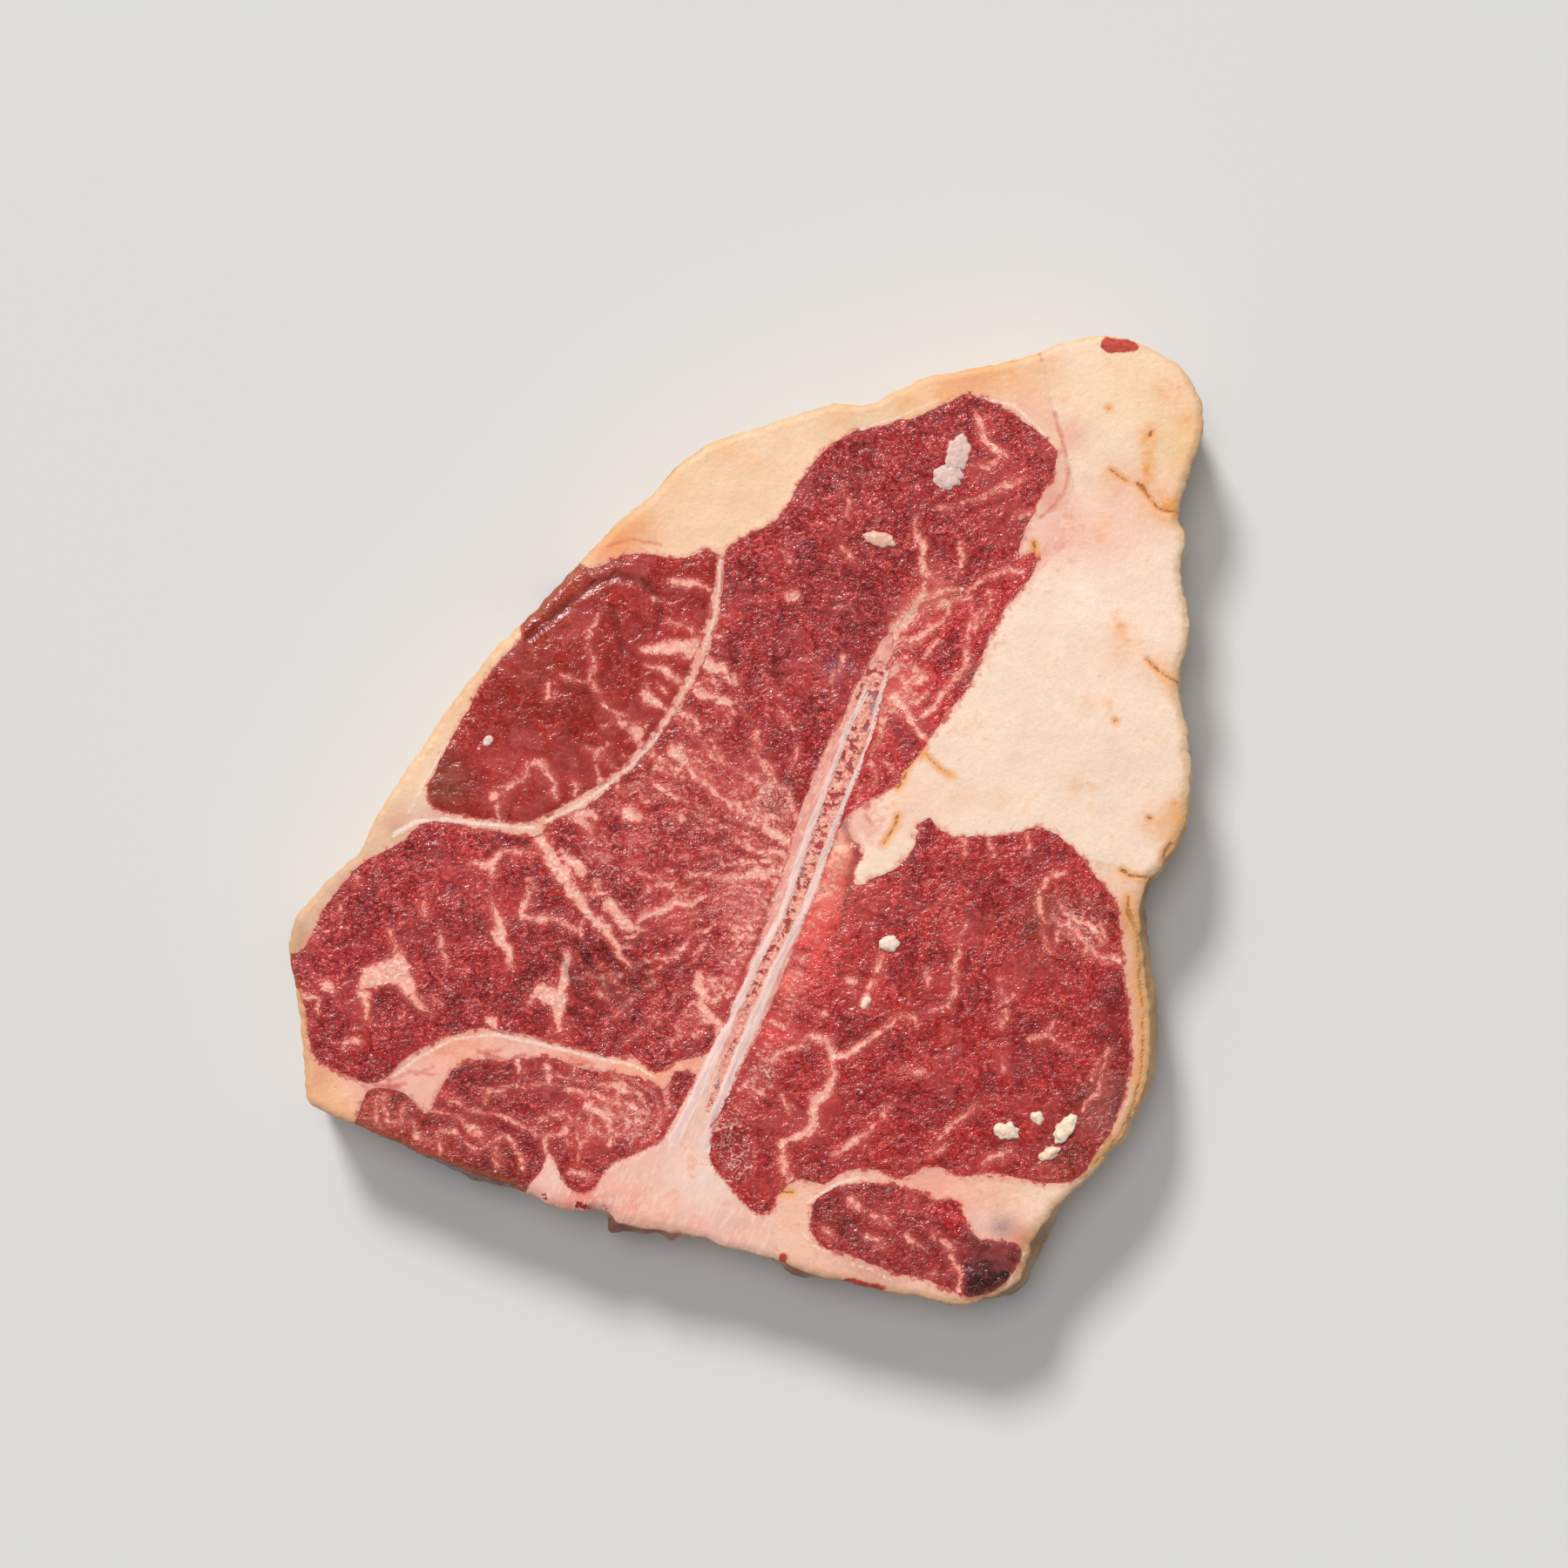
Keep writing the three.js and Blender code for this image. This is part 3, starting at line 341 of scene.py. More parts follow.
# Stains without a crack, by how far they reach from their middle: x, y, reach, strength.
fatStains = [
    (105, 100, 3, 0.9), (104.8, 95.6, 2.4, 0.8), (104.4, 91.4, 2.4, 0.8), (104, 88, 3, 0.7),
    (108, 81, 5, 0.8), (113, 80, 4, 1.0), (110, 84, 4, 0.4), (96, 89, 4, 0.6), (111, 36, 3.5, 1.0),
    (107, 39.5, 4, 0.5), (99, 46, 4, 0.4), (97, 50, 2.5, 0.6), (96, 42, 4, 0.3), (105, -1, 3, 0.6),
    (111, -3, 4, 0.8), (113, 2, 3, 0.7), (86, 9, 2.5, 0.5), (89, 30, 2, 0.4), (94, 30, 2, 0.3),
    (92, 74, 3, 0.4), (110, 112, 6, 0.5), (116, 104, 5, 0.6), (98, 119, 6, 0.2), (114, 92, 4, 0.5),
    (63, 42, 2, 0.3), (56, 6, 4, 0.3), (66, 5, 3, 0.3), (64, 118, 4, 0.7), (42, 108, 4, 0.6),
    (52, 111.4, 3, 0.7), (70, 115, 5, 0.5), (-34, 74, 5, 0.8), (-26, 77, 4, 0.5), (-5, 96, 4, 0.4),
    (2, 93, 3, 0.3), (-18, 86, 4, 0.3), (25, 104, 4, 0.4), (78, 119, 4, 0.5), (97, -14, 4, 0.3),
]
# White crests along the seams, fine red lines in the fat, and clefts in the lean, all as widths and a route.
# The lean is sunk along the clefts and painted darker there as shade.
crestLines = [
    (0.6, 0.8, (-92, -67), (-86, -62.6), (-77, -57.6), (-66, -56.2), (-52, -59.2)),
    (0.8, 0.5, (-52, -59.2), (-37, -63), (-29, -64.4), (-24, -67.6)),
    (1.4, 0.8, (-92, -4), (-86, -0.6), (-78, -0.2), (-70, -1.2)),
    (0.8, 0.7, (-70, -1.2), (-62, -2), (-55.6, -2.4)),
    (0.7, 0.6, (-52, -0.4), (-44, 3.4), (-36.6, 8.6), (-29.6, 14.4)),
    (0.6, 0.4, (-29.6, 14.4), (-23.6, 21), (-18.8, 29), (-14.4, 36.6)),
    (0.5, 0.3, (-11.4, 44), (-8.6, 52), (-7.2, 60), (-7, 68)), (0.8, 0.5, (16, -100), (24, -95), (31, -93.4)),
    (0.5, 0.3, (14.6, -108), (18, -111.6), (22, -113.4)), (0.4, 0.3, (27, -116), (32, -117.4), (38, -120.4)),
    (0.8, 0.5, (71.6, -113), (68, -121)), (0.9, 0.5, (100.6, -70), (96.6, -82), (90, -92)),
    (0.7, 0.5, (60, 110), (70, 108), (78, 100)), (0.6, 0.4, (30, 101.6), (40, 105), (50, 109.4)),
    (0.6, 0.4, (-88, 2), (-84, 10), (-78, 20)),
]
redLines = [
    (0.5, 0.6, (80.4, 106), (81.5, 101.5), (82.6, 98)),
    (0.4, 0.3, (82.6, 98), (84, 92), (83.6, 87), (80.5, 82)), (0.5, 0.3, (80.5, 82), (77, 79)),
    (0.6, 0.4, (76.2, 121.6), (76.8, 120.2)), (0.3, 0.3, (33, -2), (31, 1), (32.5, 5), (37, 8)),
    (0.3, 0.2, (-78, -67), (-88, -66), (-96, -70)), (0.3, 0.3, (-40, 70), (-30, 73), (-22, 71.5)),
    (0.6, 0.3, (-86, -66.6), (-82, -64.8)), (0.5, 0.3, (-70, -61), (-64, -60.4)),
    (0.8, 0.4, (-93, -69.8), (-89, -68.9)), (0.5, 0.3, (-46, -62.6), (-40, -64)),
]
leanClefts = [
    (1.6, 0.9, (24.5, 0), (26.5, -4), (28.5, -8.5), (29.3, -10), (27.5, -13), (26.8, -18), (25.8, -24),
     (25, -28)), (1.4, 0.7, (-57, 47), (-50, 53), (-44, 58), (-40, 61), (-34, 63.5)),
    (1.4, 0.6, (-34, 63.5), (-29, 62.5), (-25, 60), (-23, 57), (-22.5, 53), (-23, 49)),
    (0.8, 0.4, (-35, 55), (-33, 47), (-32, 43)), (1.6, 0.8, (-44, -33), (-38, -42), (-32, -48), (-28, -51)),
    (1.4, 0.6, (-49, -36), (-43, -45), (-37, -52)), (1.4, 0.6, (-38, -33), (-33, -40), (-27, -46)),
    (1.2, 0.5, (-46, -50), (-41, -56)), (1.0, 0.4, (-42, -37), (-38.6, -41), (-37.4, -45), (-34, -48)),
    (1.0, 0.4, (-37, -37), (-33, -42), (-31, -44), (-28.6, -48)),
    (0.9, 0.4, (-34, -48), (-30, -52), (-26, -54)), (0.9, 0.4, (-41, -47), (-37, -49), (-34.6, -54)),
    (0.9, 0.4, (-29, -39), (-25, -43), (-23.6, -47)), (0.9, 0.4, (-32, -35), (-27, -38), (-24, -42)),
    (0.8, 0.4, (-47, -40), (-44, -46), (-42, -48)), (0.8, 0.4, (-20, -46), (-17, -52)),
    (1.4, 0.7, (31.5, 77), (34, 77.6), (36.5, 76.5)), (1.6, 0.8, (72.4, 78), (73.6, 77.4)),
    (1.2, 0.8, (31, -94), (31.2, -94.2)),
]
# The spongy core of the bone, its hard rims, and spots of blood, given in the same way.
marrowRoute = [
    (6.0, 5.4, (34, 38), (31, 29), (27.4, 17.8)), (5.4, 4.4, (27.4, 17.8), (23.9, 8.3), (21.1, 0)),
    (4.4, 3.4, (21.1, 0), (18, -8.3), (14.8, -16.7), (12, -25)),
    (3.2, 2.0, (12, -25), (8, -33), (3.8, -40), (-0.5, -50)),
    (1.8, 1.0, (-0.5, -50), (-3.1, -58), (-6.5, -67), (-10, -76)),
]
boneRim = [
    (1.5, 1.7, (31, 33), (27.2, 25.5), (24.2, 17.8), (20.6, 8.3), (17.6, 0)),
    (1.7, 2.0, (17.6, 0), (14.4, -8.3), (11.8, -16.7), (9, -25)),
    (2.0, 2.6, (9, -25), (5, -33), (1.3, -40), (-3.1, -50), (-7.1, -58)),
    (2.6, 3.4, (-7.1, -58), (-11, -67), (-15, -76), (-19, -84)),
    (1.4, 2.0, (36.6, 38), (34, 27), (31.2, 17.8), (27.4, 8.3), (24.1, 0)),
    (2.0, 2.2, (24.1, 0), (20.9, -8.3), (17.8, -16.7), (14.6, -25), (11, -32), (7.1, -40)),
    (2.4, 3.2, (7.1, -40), (3.1, -50), (-0.4, -58), (-4.4, -67), (-7.6, -76), (-10.2, -86)),
]
bloodMarks = [
    (4.0, 2.6, (94.6, 123.6), (101, 123.2)), (1.0, 0.8, (-52.8, -98), (-52.3, -99)),
    (1.6, 1.2, (-44, -100.6), (-41, -101.6)), (0.8, 0.8, (-37.2, -100.8), (-36.8, -101.2)),
    (1.6, 1.2, (9.5, -114), (9.8, -117)), (1.4, 1.0, (26, -120.4), (36, -122.2)),
]


def smoothLoop(points, step):
    # evenly spaced points on the centripetal curve through a closed outline
    p = np.array(points, float)
    dense = []
    for i in range(len(p)):
        p0, p1, p2, p3 = p[i - 1], p[i], p[(i + 1) % len(p)], p[(i + 2) % len(p)]
        d0, d1, d2 = (np.linalg.norm(b - a) ** 0.5 for a, b in ((p0, p1), (p1, p2), (p2, p3)))
        start = ((p1 - p0) / d0 - (p2 - p0) / (d0 + d1) + (p2 - p1) / d1) * d1
        end = ((p2 - p1) / d1 - (p3 - p1) / (d1 + d2) + (p3 - p2) / d2) * d1
        for s in np.linspace(0, 1, 20, endpoint=False):
            dense.append((2 * s**3 - 3 * s**2 + 1) * p1 + (s**3 - 2 * s**2 + s) * start
                         + (3 * s**2 - 2 * s**3) * p2 + (s**3 - s**2) * end)
    return evenLoop(np.array(dense), step)


def evenLoop(dense, step):
    closed = np.vstack([dense, dense[:1]])
    along = np.concatenate([[0], np.cumsum(np.linalg.norm(np.diff(closed, axis=0), axis=1))])
    at = np.linspace(0, along[-1], int(round(along[-1] / step)), endpoint=False)
    return np.stack([np.interp(at, along, closed[:, k]) for k in (0, 1)], axis=1)


def shoelace(loop):
    # area of a closed loop, positive when it runs anticlockwise
    x, y = loop[:, 0], loop[:, 1]
    return 0.5 * np.sum(x * np.roll(y, -1) - y * np.roll(x, -1))


def wander(points, shifts):
    # smooth sideways shifts that depend only on a point's place, each by its size and amount
    for size, amount in shifts:
        shift = [noise.noise_vector(Vector((x / size, y / size, size))) for x, y in points]
        points = points + amount * np.array([(s.x, s.y) for s in shift])
    return points


def roughness3d(x, y, z, size):
    return np.array([noise.noise(Vector((a / size, b / size, c / size))) for a, b, c in zip(x, y, z)])


def strokeField(points, strokes, far=6.0):
    # signed distance in millimetres to the nearest stroke, negative inside it
    field = np.full(len(points), far)
    reach = far + 3      # points farther off than this are left out
    for startWidth, endWidth, *route in strokes:
        for k, (a, b) in enumerate(zip(route[:-1], route[1:])):
            a, b = np.array(a, float), np.array(b, float)
            w0 = startWidth + (endWidth - startWidth) * k / (len(route) - 1)
            w1 = startWidth + (endWidth - startWidth) * (k + 1) / (len(route) - 1)
            low, high = np.minimum(a, b) - reach, np.maximum(a, b) + reach
            near = np.flatnonzero(np.all((points > low) & (points < high), axis=1))
            along = np.clip((points[near] - a) @ (b - a) / ((b - a) @ (b - a)), 0, 1)
            away = np.linalg.norm(points[near] - a - along[:, None] * (b - a), axis=1)
            field[near] = np.minimum(field[near], away - (w0 + (w1 - w0) * along) / 2)
    return field


# Short threads too many to place by hand: a fan over the loin, and a comb along either side of the bone.
# Angles are in degrees, apart from "spread", which is in radians. "lie" is a mean and its spread, "middle",
# "start" and "run" are on the plan, and the other pairs are ranges.
fan = {"count": 190, "middle": (20, -12), "angle": (116, 238), "away": (11, 66), "spread": 0.12,
       "long": (1.5, 6.5), "wide": (0.25, 0.85)}
combs = [
    {"count": 40, "start": (24, -9), "run": (-25, -66), "scatter": 0.7, "lie": (-24, 10), "long": (2, 6),
     "wide": (0.25, 0.6)},
    {"count": 52, "start": (12, -11), "run": (-24, -45), "scatter": 0.9, "lie": (166, 14), "long": (2, 8),
     "wide": (0.5, 1.3)},
]


def fineStreaks():
    rng = np.random.default_rng(11)
    streaks = []

    def streak(start, lie, long, wide):
        end = start + long * np.array((math.cos(lie), math.sin(lie)))
        streaks.append((wide, wide * 0.4, tuple(start), tuple(end)))

    for _ in range(fan["count"]):
        angle = math.radians(rng.uniform(*fan["angle"]))
        away = rng.uniform(*fan["away"])
        start = np.array(fan["middle"]) + away * np.array((math.cos(angle), math.sin(angle)))
        streak(start, angle + rng.normal(0, fan["spread"]), rng.uniform(*fan["long"]),
               rng.uniform(*fan["wide"]))
    for comb in combs:
        for share in np.linspace(0, 1, comb["count"]):
            start = np.array(comb["start"]) + share * np.array(comb["run"])
            start = start + rng.normal(0, comb["scatter"], 2)
            streak(start, math.radians(rng.normal(*comb["lie"])), rng.uniform(*comb["long"]),
                   rng.uniform(*comb["wide"]))
    return streaks


def hills(points, places):
    # sum of round hills, each given as x, y, reach and height
    total = np.zeros(len(points))
    for x, y, reach, height in places:
        total += height * np.exp(-((points[:, 0] - x) ** 2 + (points[:, 1] - y) ** 2) / reach**2)
    return total


def linearColour(hexColour):
    channels = [int(hexColour[i:i + 2], 16) / 255 for i in (1, 3, 5)]
    return [c / 12.92 if c <= 0.04045 else ((c + 0.055) / 1.055) ** 2.4 for c in channels]


def treeOf(points):
    # a search tree over points of the plan
    tree = kdtree.KDTree(len(points))
    for i, (x, y) in enumerate(points):
        tree.insert((x, y, 0), i)
    tree.balance()
    return tree


def distanceTo(tree, points):
    return np.array([tree.find((x, y, 0))[2] for x, y in points])


# The plan: one triangulation of the whole sawn face in which every outline is an edge.
def drawPlan():
    rng = np.random.default_rng(7)
    loops = {}
    for name, points in outlines.items():
        if name in straightOutlines:
            dense = evenLoop(np.array(points, float), steak["cell"])
        else:
            dense = smoothLoop(points, steak["cell"])
        if shoelace(dense) < 0:
            dense = dense[::-1]
        loops[name] = wander(dense, steak["outlineWander"])
    edge = loops["edge"]
    low, high = edge.min(axis=0), edge.max(axis=0)
    cell = steak["cell"]
    rows = np.arange(low[1], high[1], cell * 0.866)      # the height of a triangle with equal sides
    columns = np.arange(low[0], high[0], cell)
    x, y = np.meshgrid(columns, rows)
    x[1::2] += cell / 2
    lattice = np.stack([x.ravel(), y.ravel()], axis=1)
    lattice += rng.uniform(-steak["jitter"], steak["jitter"], (x.size, 2))
    border = treeOf(np.vstack(list(loops.values())))
    lattice = lattice[distanceTo(border, lattice) > 0.45 * cell]      # none too close to an outline
    points, faces = [], []
    for loop in loops.values():
        faces.append(list(range(len(points), len(points) + len(loop))))
        points += [Vector(p) for p in loop]
    points += [Vector(p) for p in lattice]
    verts, _, tris, _, _, owners = geometry.delaunay_2d_cdt(points, [], faces, 1, 1e-4, True)
    names = list(loops)
    kept, region = [], []
    for tri, inside in zip(tris, owners):
        if 0 in inside:
            kept.append(tri)
            inner = [k for k in inside if k]
            region.append(names[min(inner)] if inner else "fat_cover")
    verts = np.array([(v.x, v.y) for v in verts])
    kept = np.array(kept)
    turn = np.cross(verts[kept[:, 1]] - verts[kept[:, 0]], verts[kept[:, 2]] - verts[kept[:, 0]])
    kept[turn < 0] = kept[turn < 0][:, ::-1]
    return verts, kept, np.array(region), edge


plan, planTris, planRegion, edgeLoop = drawPlan()
print("plan of the steak:", len(plan), "points,", len(planTris), "triangles")

# For each point of the plan: how far the outer edge is, the way out there, and how high the lower face is.
edgeTree = treeOf(edgeLoop)
ahead = np.roll(edgeLoop, -2, axis=0) - np.roll(edgeLoop, 2, axis=0)
edgeNormals = np.stack([ahead[:, 1], -ahead[:, 0]], axis=1)
edgeNormals /= np.linalg.norm(edgeNormals, axis=1)[:, None]
nearest = [edgeTree.find((*p, 0)) for p in plan]
edgeDistance = np.array([n[2] for n in nearest])
wayOut = edgeNormals[[n[1] for n in nearest]]
lift, liftWidth = steak["rimLift"]
waveX, waveY = steak["restWaves"]
waves = np.sin(plan[:, 0] / waveX) * np.sin(plan[:, 1] / waveY)
underside = steak["restGap"] + steak["restGap"] * waves + lift * np.exp(-(edgeDistance / liftWidth) ** 2)
leanNodes = ("fillet", "side_strap", "loin", "outer_eye", "chine_muscle", "chain")


def meetingPlaces():
    # distance of each plan point from where lean meets fat or bone
    isLean = np.isin(planRegion, leanNodes)
    sides = np.sort(np.vstack([planTris[:, [0, 1]], planTris[:, [1, 2]], planTris[:, [2, 0]]]), axis=1)
    owner = np.tile(isLean, 3)
    order = np.lexsort((sides[:, 1], sides[:, 0]))
    sides, owner = sides[order], owner[order]
    shared = np.all(sides[1:] == sides[:-1], axis=1) & (owner[1:] != owner[:-1])
    border = np.unique(sides[1:][shared])
    return np.minimum(distanceTo(treeOf(plan[border]), plan), steak["farAway"])


planFields = {
    "meet": meetingPlaces(),
    "edge": np.minimum(edgeDistance, steak["farAway"]),
    "fatThread": strokeField(wander(plan, steak["threadWander"]), marbling + fineStreaks()),
    "crack": strokeField(plan, fatCracks),
    "redLine": strokeField(plan, redLines),
    "crestLine": strokeField(plan, crestLines),
    "stained": hills(plan, fatStains),
    "cleft": strokeField(plan, leanClefts),
    "marrow": strokeField(plan, marrowRoute),
    "hardRim": strokeField(plan, boneRim),
    "blood": strokeField(plan, bloodMarks),
}
print("routes of fat, cracks and marrow laid on the plan")


def upperFace(settings, inside):
    # height of the upper face, where inside is the distance from the edge of the part
    x, y = plan[:, 0], plan[:, 1]
    height = steak["thickness"] - steak["faceDip"] + hills(plan, faceSwells)
    height += settings["raise"] * (1 - np.exp(-(inside / steak["raiseWidth"]) ** 2))
    for size, amount in settings["grain"]:
        height += amount * roughness3d(x, y, np.full(len(x), size), size)
    height -= settings["seamDip"] * np.exp(-(planFields["meet"] / steak["seamWidth"]) ** 2)
    height -= steak["rimDrop"][0] * np.exp(-(edgeDistance / steak["rimDrop"][1]) ** 2)
    for key in ("cleft", "crack"):
        away = np.maximum(planFields[key], 0) / steak[key + "Width"]
        height -= settings[key + "Depth"] * np.exp(-away ** 2)
    # the spongy core sinks and the hard rims rise, over a short slope at their borders
    height -= settings["marrowDepth"] * np.clip(0.4 - planFields["marrow"], 0, 0.8)
    height += settings["rimRise"] * np.clip(0.5 - planFields["hardRim"], 0, 1)
    return height


def placePoints(index, share, top):
    # points of the steak above plan points, share 0 on the lower face and 1 on the upper one
    z = underside[index] + (top[index] - underside[index]) * share
    down = np.clip(1 - z / steak["thickness"], 0, 1)
    near = np.exp(-(edgeDistance[index] / steak["sideReach"]) ** 2)
    swell = steak["belly"] + hills(plan[index], sideSwells)
    rim = steak["edgeRound"] * np.clip(1 - z / steak["rimHeight"], 0, 1) ** 2
    out = swell * np.sin(np.pi * down**0.8 * 0.92) - rim      # fullest just above half way down
    rough = np.flatnonzero((near > 0.05) & (share > 0) & (share < 1))
    x, y = plan[index[rough], 0], plan[index[rough], 1]
    out[rough] += sum(depth * roughness3d(x, y, z[rough] * squeeze, size)
                      for size, squeeze, depth in steak["sideGrain"])
    drift = np.outer((1 - near) * down, steak["seamLean"])
    xy = plan[index] + drift + wayOut[index] * (near * out)[:, None] - np.array(steak["middle"])
    return np.column_stack([xy, z]) * mm


def tintOf(settings, points):
    # base colour of the part with soft patches of other colours, in linear light
    colour = np.tile(linearColour(settings["colour"]), (len(points), 1))
    for x, y, reach, patch, strength in settings["patches"]:
        weight = strength * np.exp(-((points[:, 0] - x) ** 2 + (points[:, 1] - y) ** 2) / reach**2)
        colour += weight[:, None] * (np.array(linearColour(patch)) - colour)
    return colour


def keepSharp(mesh, rim, lower):
    # the edges where two parts meet stay sharp, so that the sawn face runs on flat from part to part
    ends = np.zeros(2 * len(mesh.edges), int)
    mesh.edges.foreach_get("vertices", ends)
    ends = np.sort(ends.reshape(-1, 2), axis=1)
    count = len(mesh.vertices)
    seam = np.sort(np.array(rim), axis=1)
    seam = np.vstack([seam, seam + lower])
    sharp = np.isin(ends[:, 0] * count + ends[:, 1], seam[:, 0] * count + seam[:, 1])
    mesh.attributes.new("sharp_edge", "BOOLEAN", "EDGE").data.foreach_set("value", sharp)


def putInScene(name, data):
    item = bpy.data.objects.new(name, data)
    bpy.context.scene.collection.objects.link(item)
    return item


def buildPart(name, node, settings, material):
    mine = planTris[planRegion == node]
    used, tris = np.unique(mine, return_inverse=True)
    tris = tris.reshape(-1, 3)
    sides = np.vstack([tris[:, [0, 1]], tris[:, [1, 2]], tris[:, [2, 0]]])
    pairs = {(a, b) for a, b in sides.tolist()}
    rim = [(a, b) for a, b in sides.tolist() if (b, a) not in pairs]
    rimPoints = sorted({a for a, _ in rim} | {b for _, b in rim})
    inside = np.full(len(plan), steak["farAway"])
    inside[used] = np.minimum(distanceTo(treeOf(plan[used[rimPoints]]), plan[used]), steak["farAway"])
    outer = np.any(edgeDistance[used] < steak["onEdge"])
    rings = steak["sideRings"] if outer else steak["seamRings"]
    n, k = len(used), len(rimPoints)
    shares = np.concatenate([np.ones(n), np.zeros(n)] + [np.full(k, r / rings) for r in range(1, rings)])
    index = np.concatenate([used, used] + [used[rimPoints]] * (rings - 1))
    verts = placePoints(index, shares, upperFace(settings, inside))
    order = {point: i for i, point in enumerate(rimPoints)}

    def ringPoint(point, ring):
        if ring == 0:
            return n + point
        return point if ring == rings else 2 * n + (ring - 1) * k + order[point]

    faces = tris.tolist() + (tris[:, ::-1] + n).tolist()
    faces += [(ringPoint(a, r), ringPoint(b, r), ringPoint(b, r + 1), ringPoint(a, r + 1))
              for r in range(rings) for a, b in rim]
    mesh = bpy.data.meshes.new(name)
    mesh.from_pydata(verts.tolist(), [], faces)
    mesh.shade_smooth()
    seam = [(a, b) for a, b in rim
            if min(edgeDistance[used[a]], edgeDistance[used[b]]) > steak["onEdge"]]
    keepSharp(mesh, seam, n)
    values = {key: field[index] for key, field in planFields.items()}
    values["mixing"] = (settings["mixing"] + hills(plan, settings["mixingPatches"]))[index]
    values["coarse"] = np.clip(settings["coarse"] + hills(plan, settings["smoothPatches"]), 0, 1.2)[index]
    values["lace"] = hills(plan, settings["lacePatches"])[index]
    values["fibre"] = np.full(len(index), math.radians(settings["fibre"]))
    onSide = (shares > 0) & (shares < 1) & (edgeDistance[index] < steak["sideStart"])
    values["onSide"] = np.where(onSide, 1.0, 0.0)
    for key, value in values.items():
        mesh.attributes.new(key, "FLOAT", "POINT").data.foreach_set("value", value.astype(np.float32))
    side = leanSide if node in leanNodes else fatSide
    for key, patches in (("tint", settings), ("sideTint", side)):
        tint = np.column_stack([tintOf(patches, plan[index]), np.ones(len(index))])
        mesh.attributes.new(key, "FLOAT_COLOR", "POINT").data.foreach_set("color", tint.astype("f").ravel())
    mesh.materials.append(material)
    piece = putInScene(name, mesh)
    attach(piece, "root")
    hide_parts(node)
    print(name, "has", sum(len(f) - 2 for f in faces), "triangles")


def add(tree, kind, inputs=(), output=0, **settings):
    # one node with its settings, and a value, a hex colour or a link for each input, in the order of its
    # sockets or by number or name, giving back one of its outputs
    node = tree.nodes.new("ShaderNode" + kind)
    for key, value in settings.items():
        setattr(node, key, value)
    for key, value in inputs.items() if isinstance(inputs, dict) else enumerate(inputs):
        if isinstance(value, bpy.types.NodeSocket):
            tree.links.new(value, node.inputs[key])
        else:
            node.inputs[key].default_value = (*linearColour(value), 1) if isinstance(value, str) else value
    return node.outputs[output]


# Settings that many nodes share: a mask that fades gently, a mix of two colours, and the first input times
# the second plus the third.
soft = {"interpolation_type": "SMOOTHSTEP"}
colours = {"data_type": "RGBA"}
timesPlus = {"operation": "MULTIPLY_ADD"}


def newMaterial(name, finish):
    material = bpy.data.materials.new(name)
    material.use_nodes = True
    tree = material.node_tree
    shader = tree.nodes["Principled BSDF"]
    for key, value in finish.items():
        shader.inputs[key].default_value = value
    return material, tree, shader


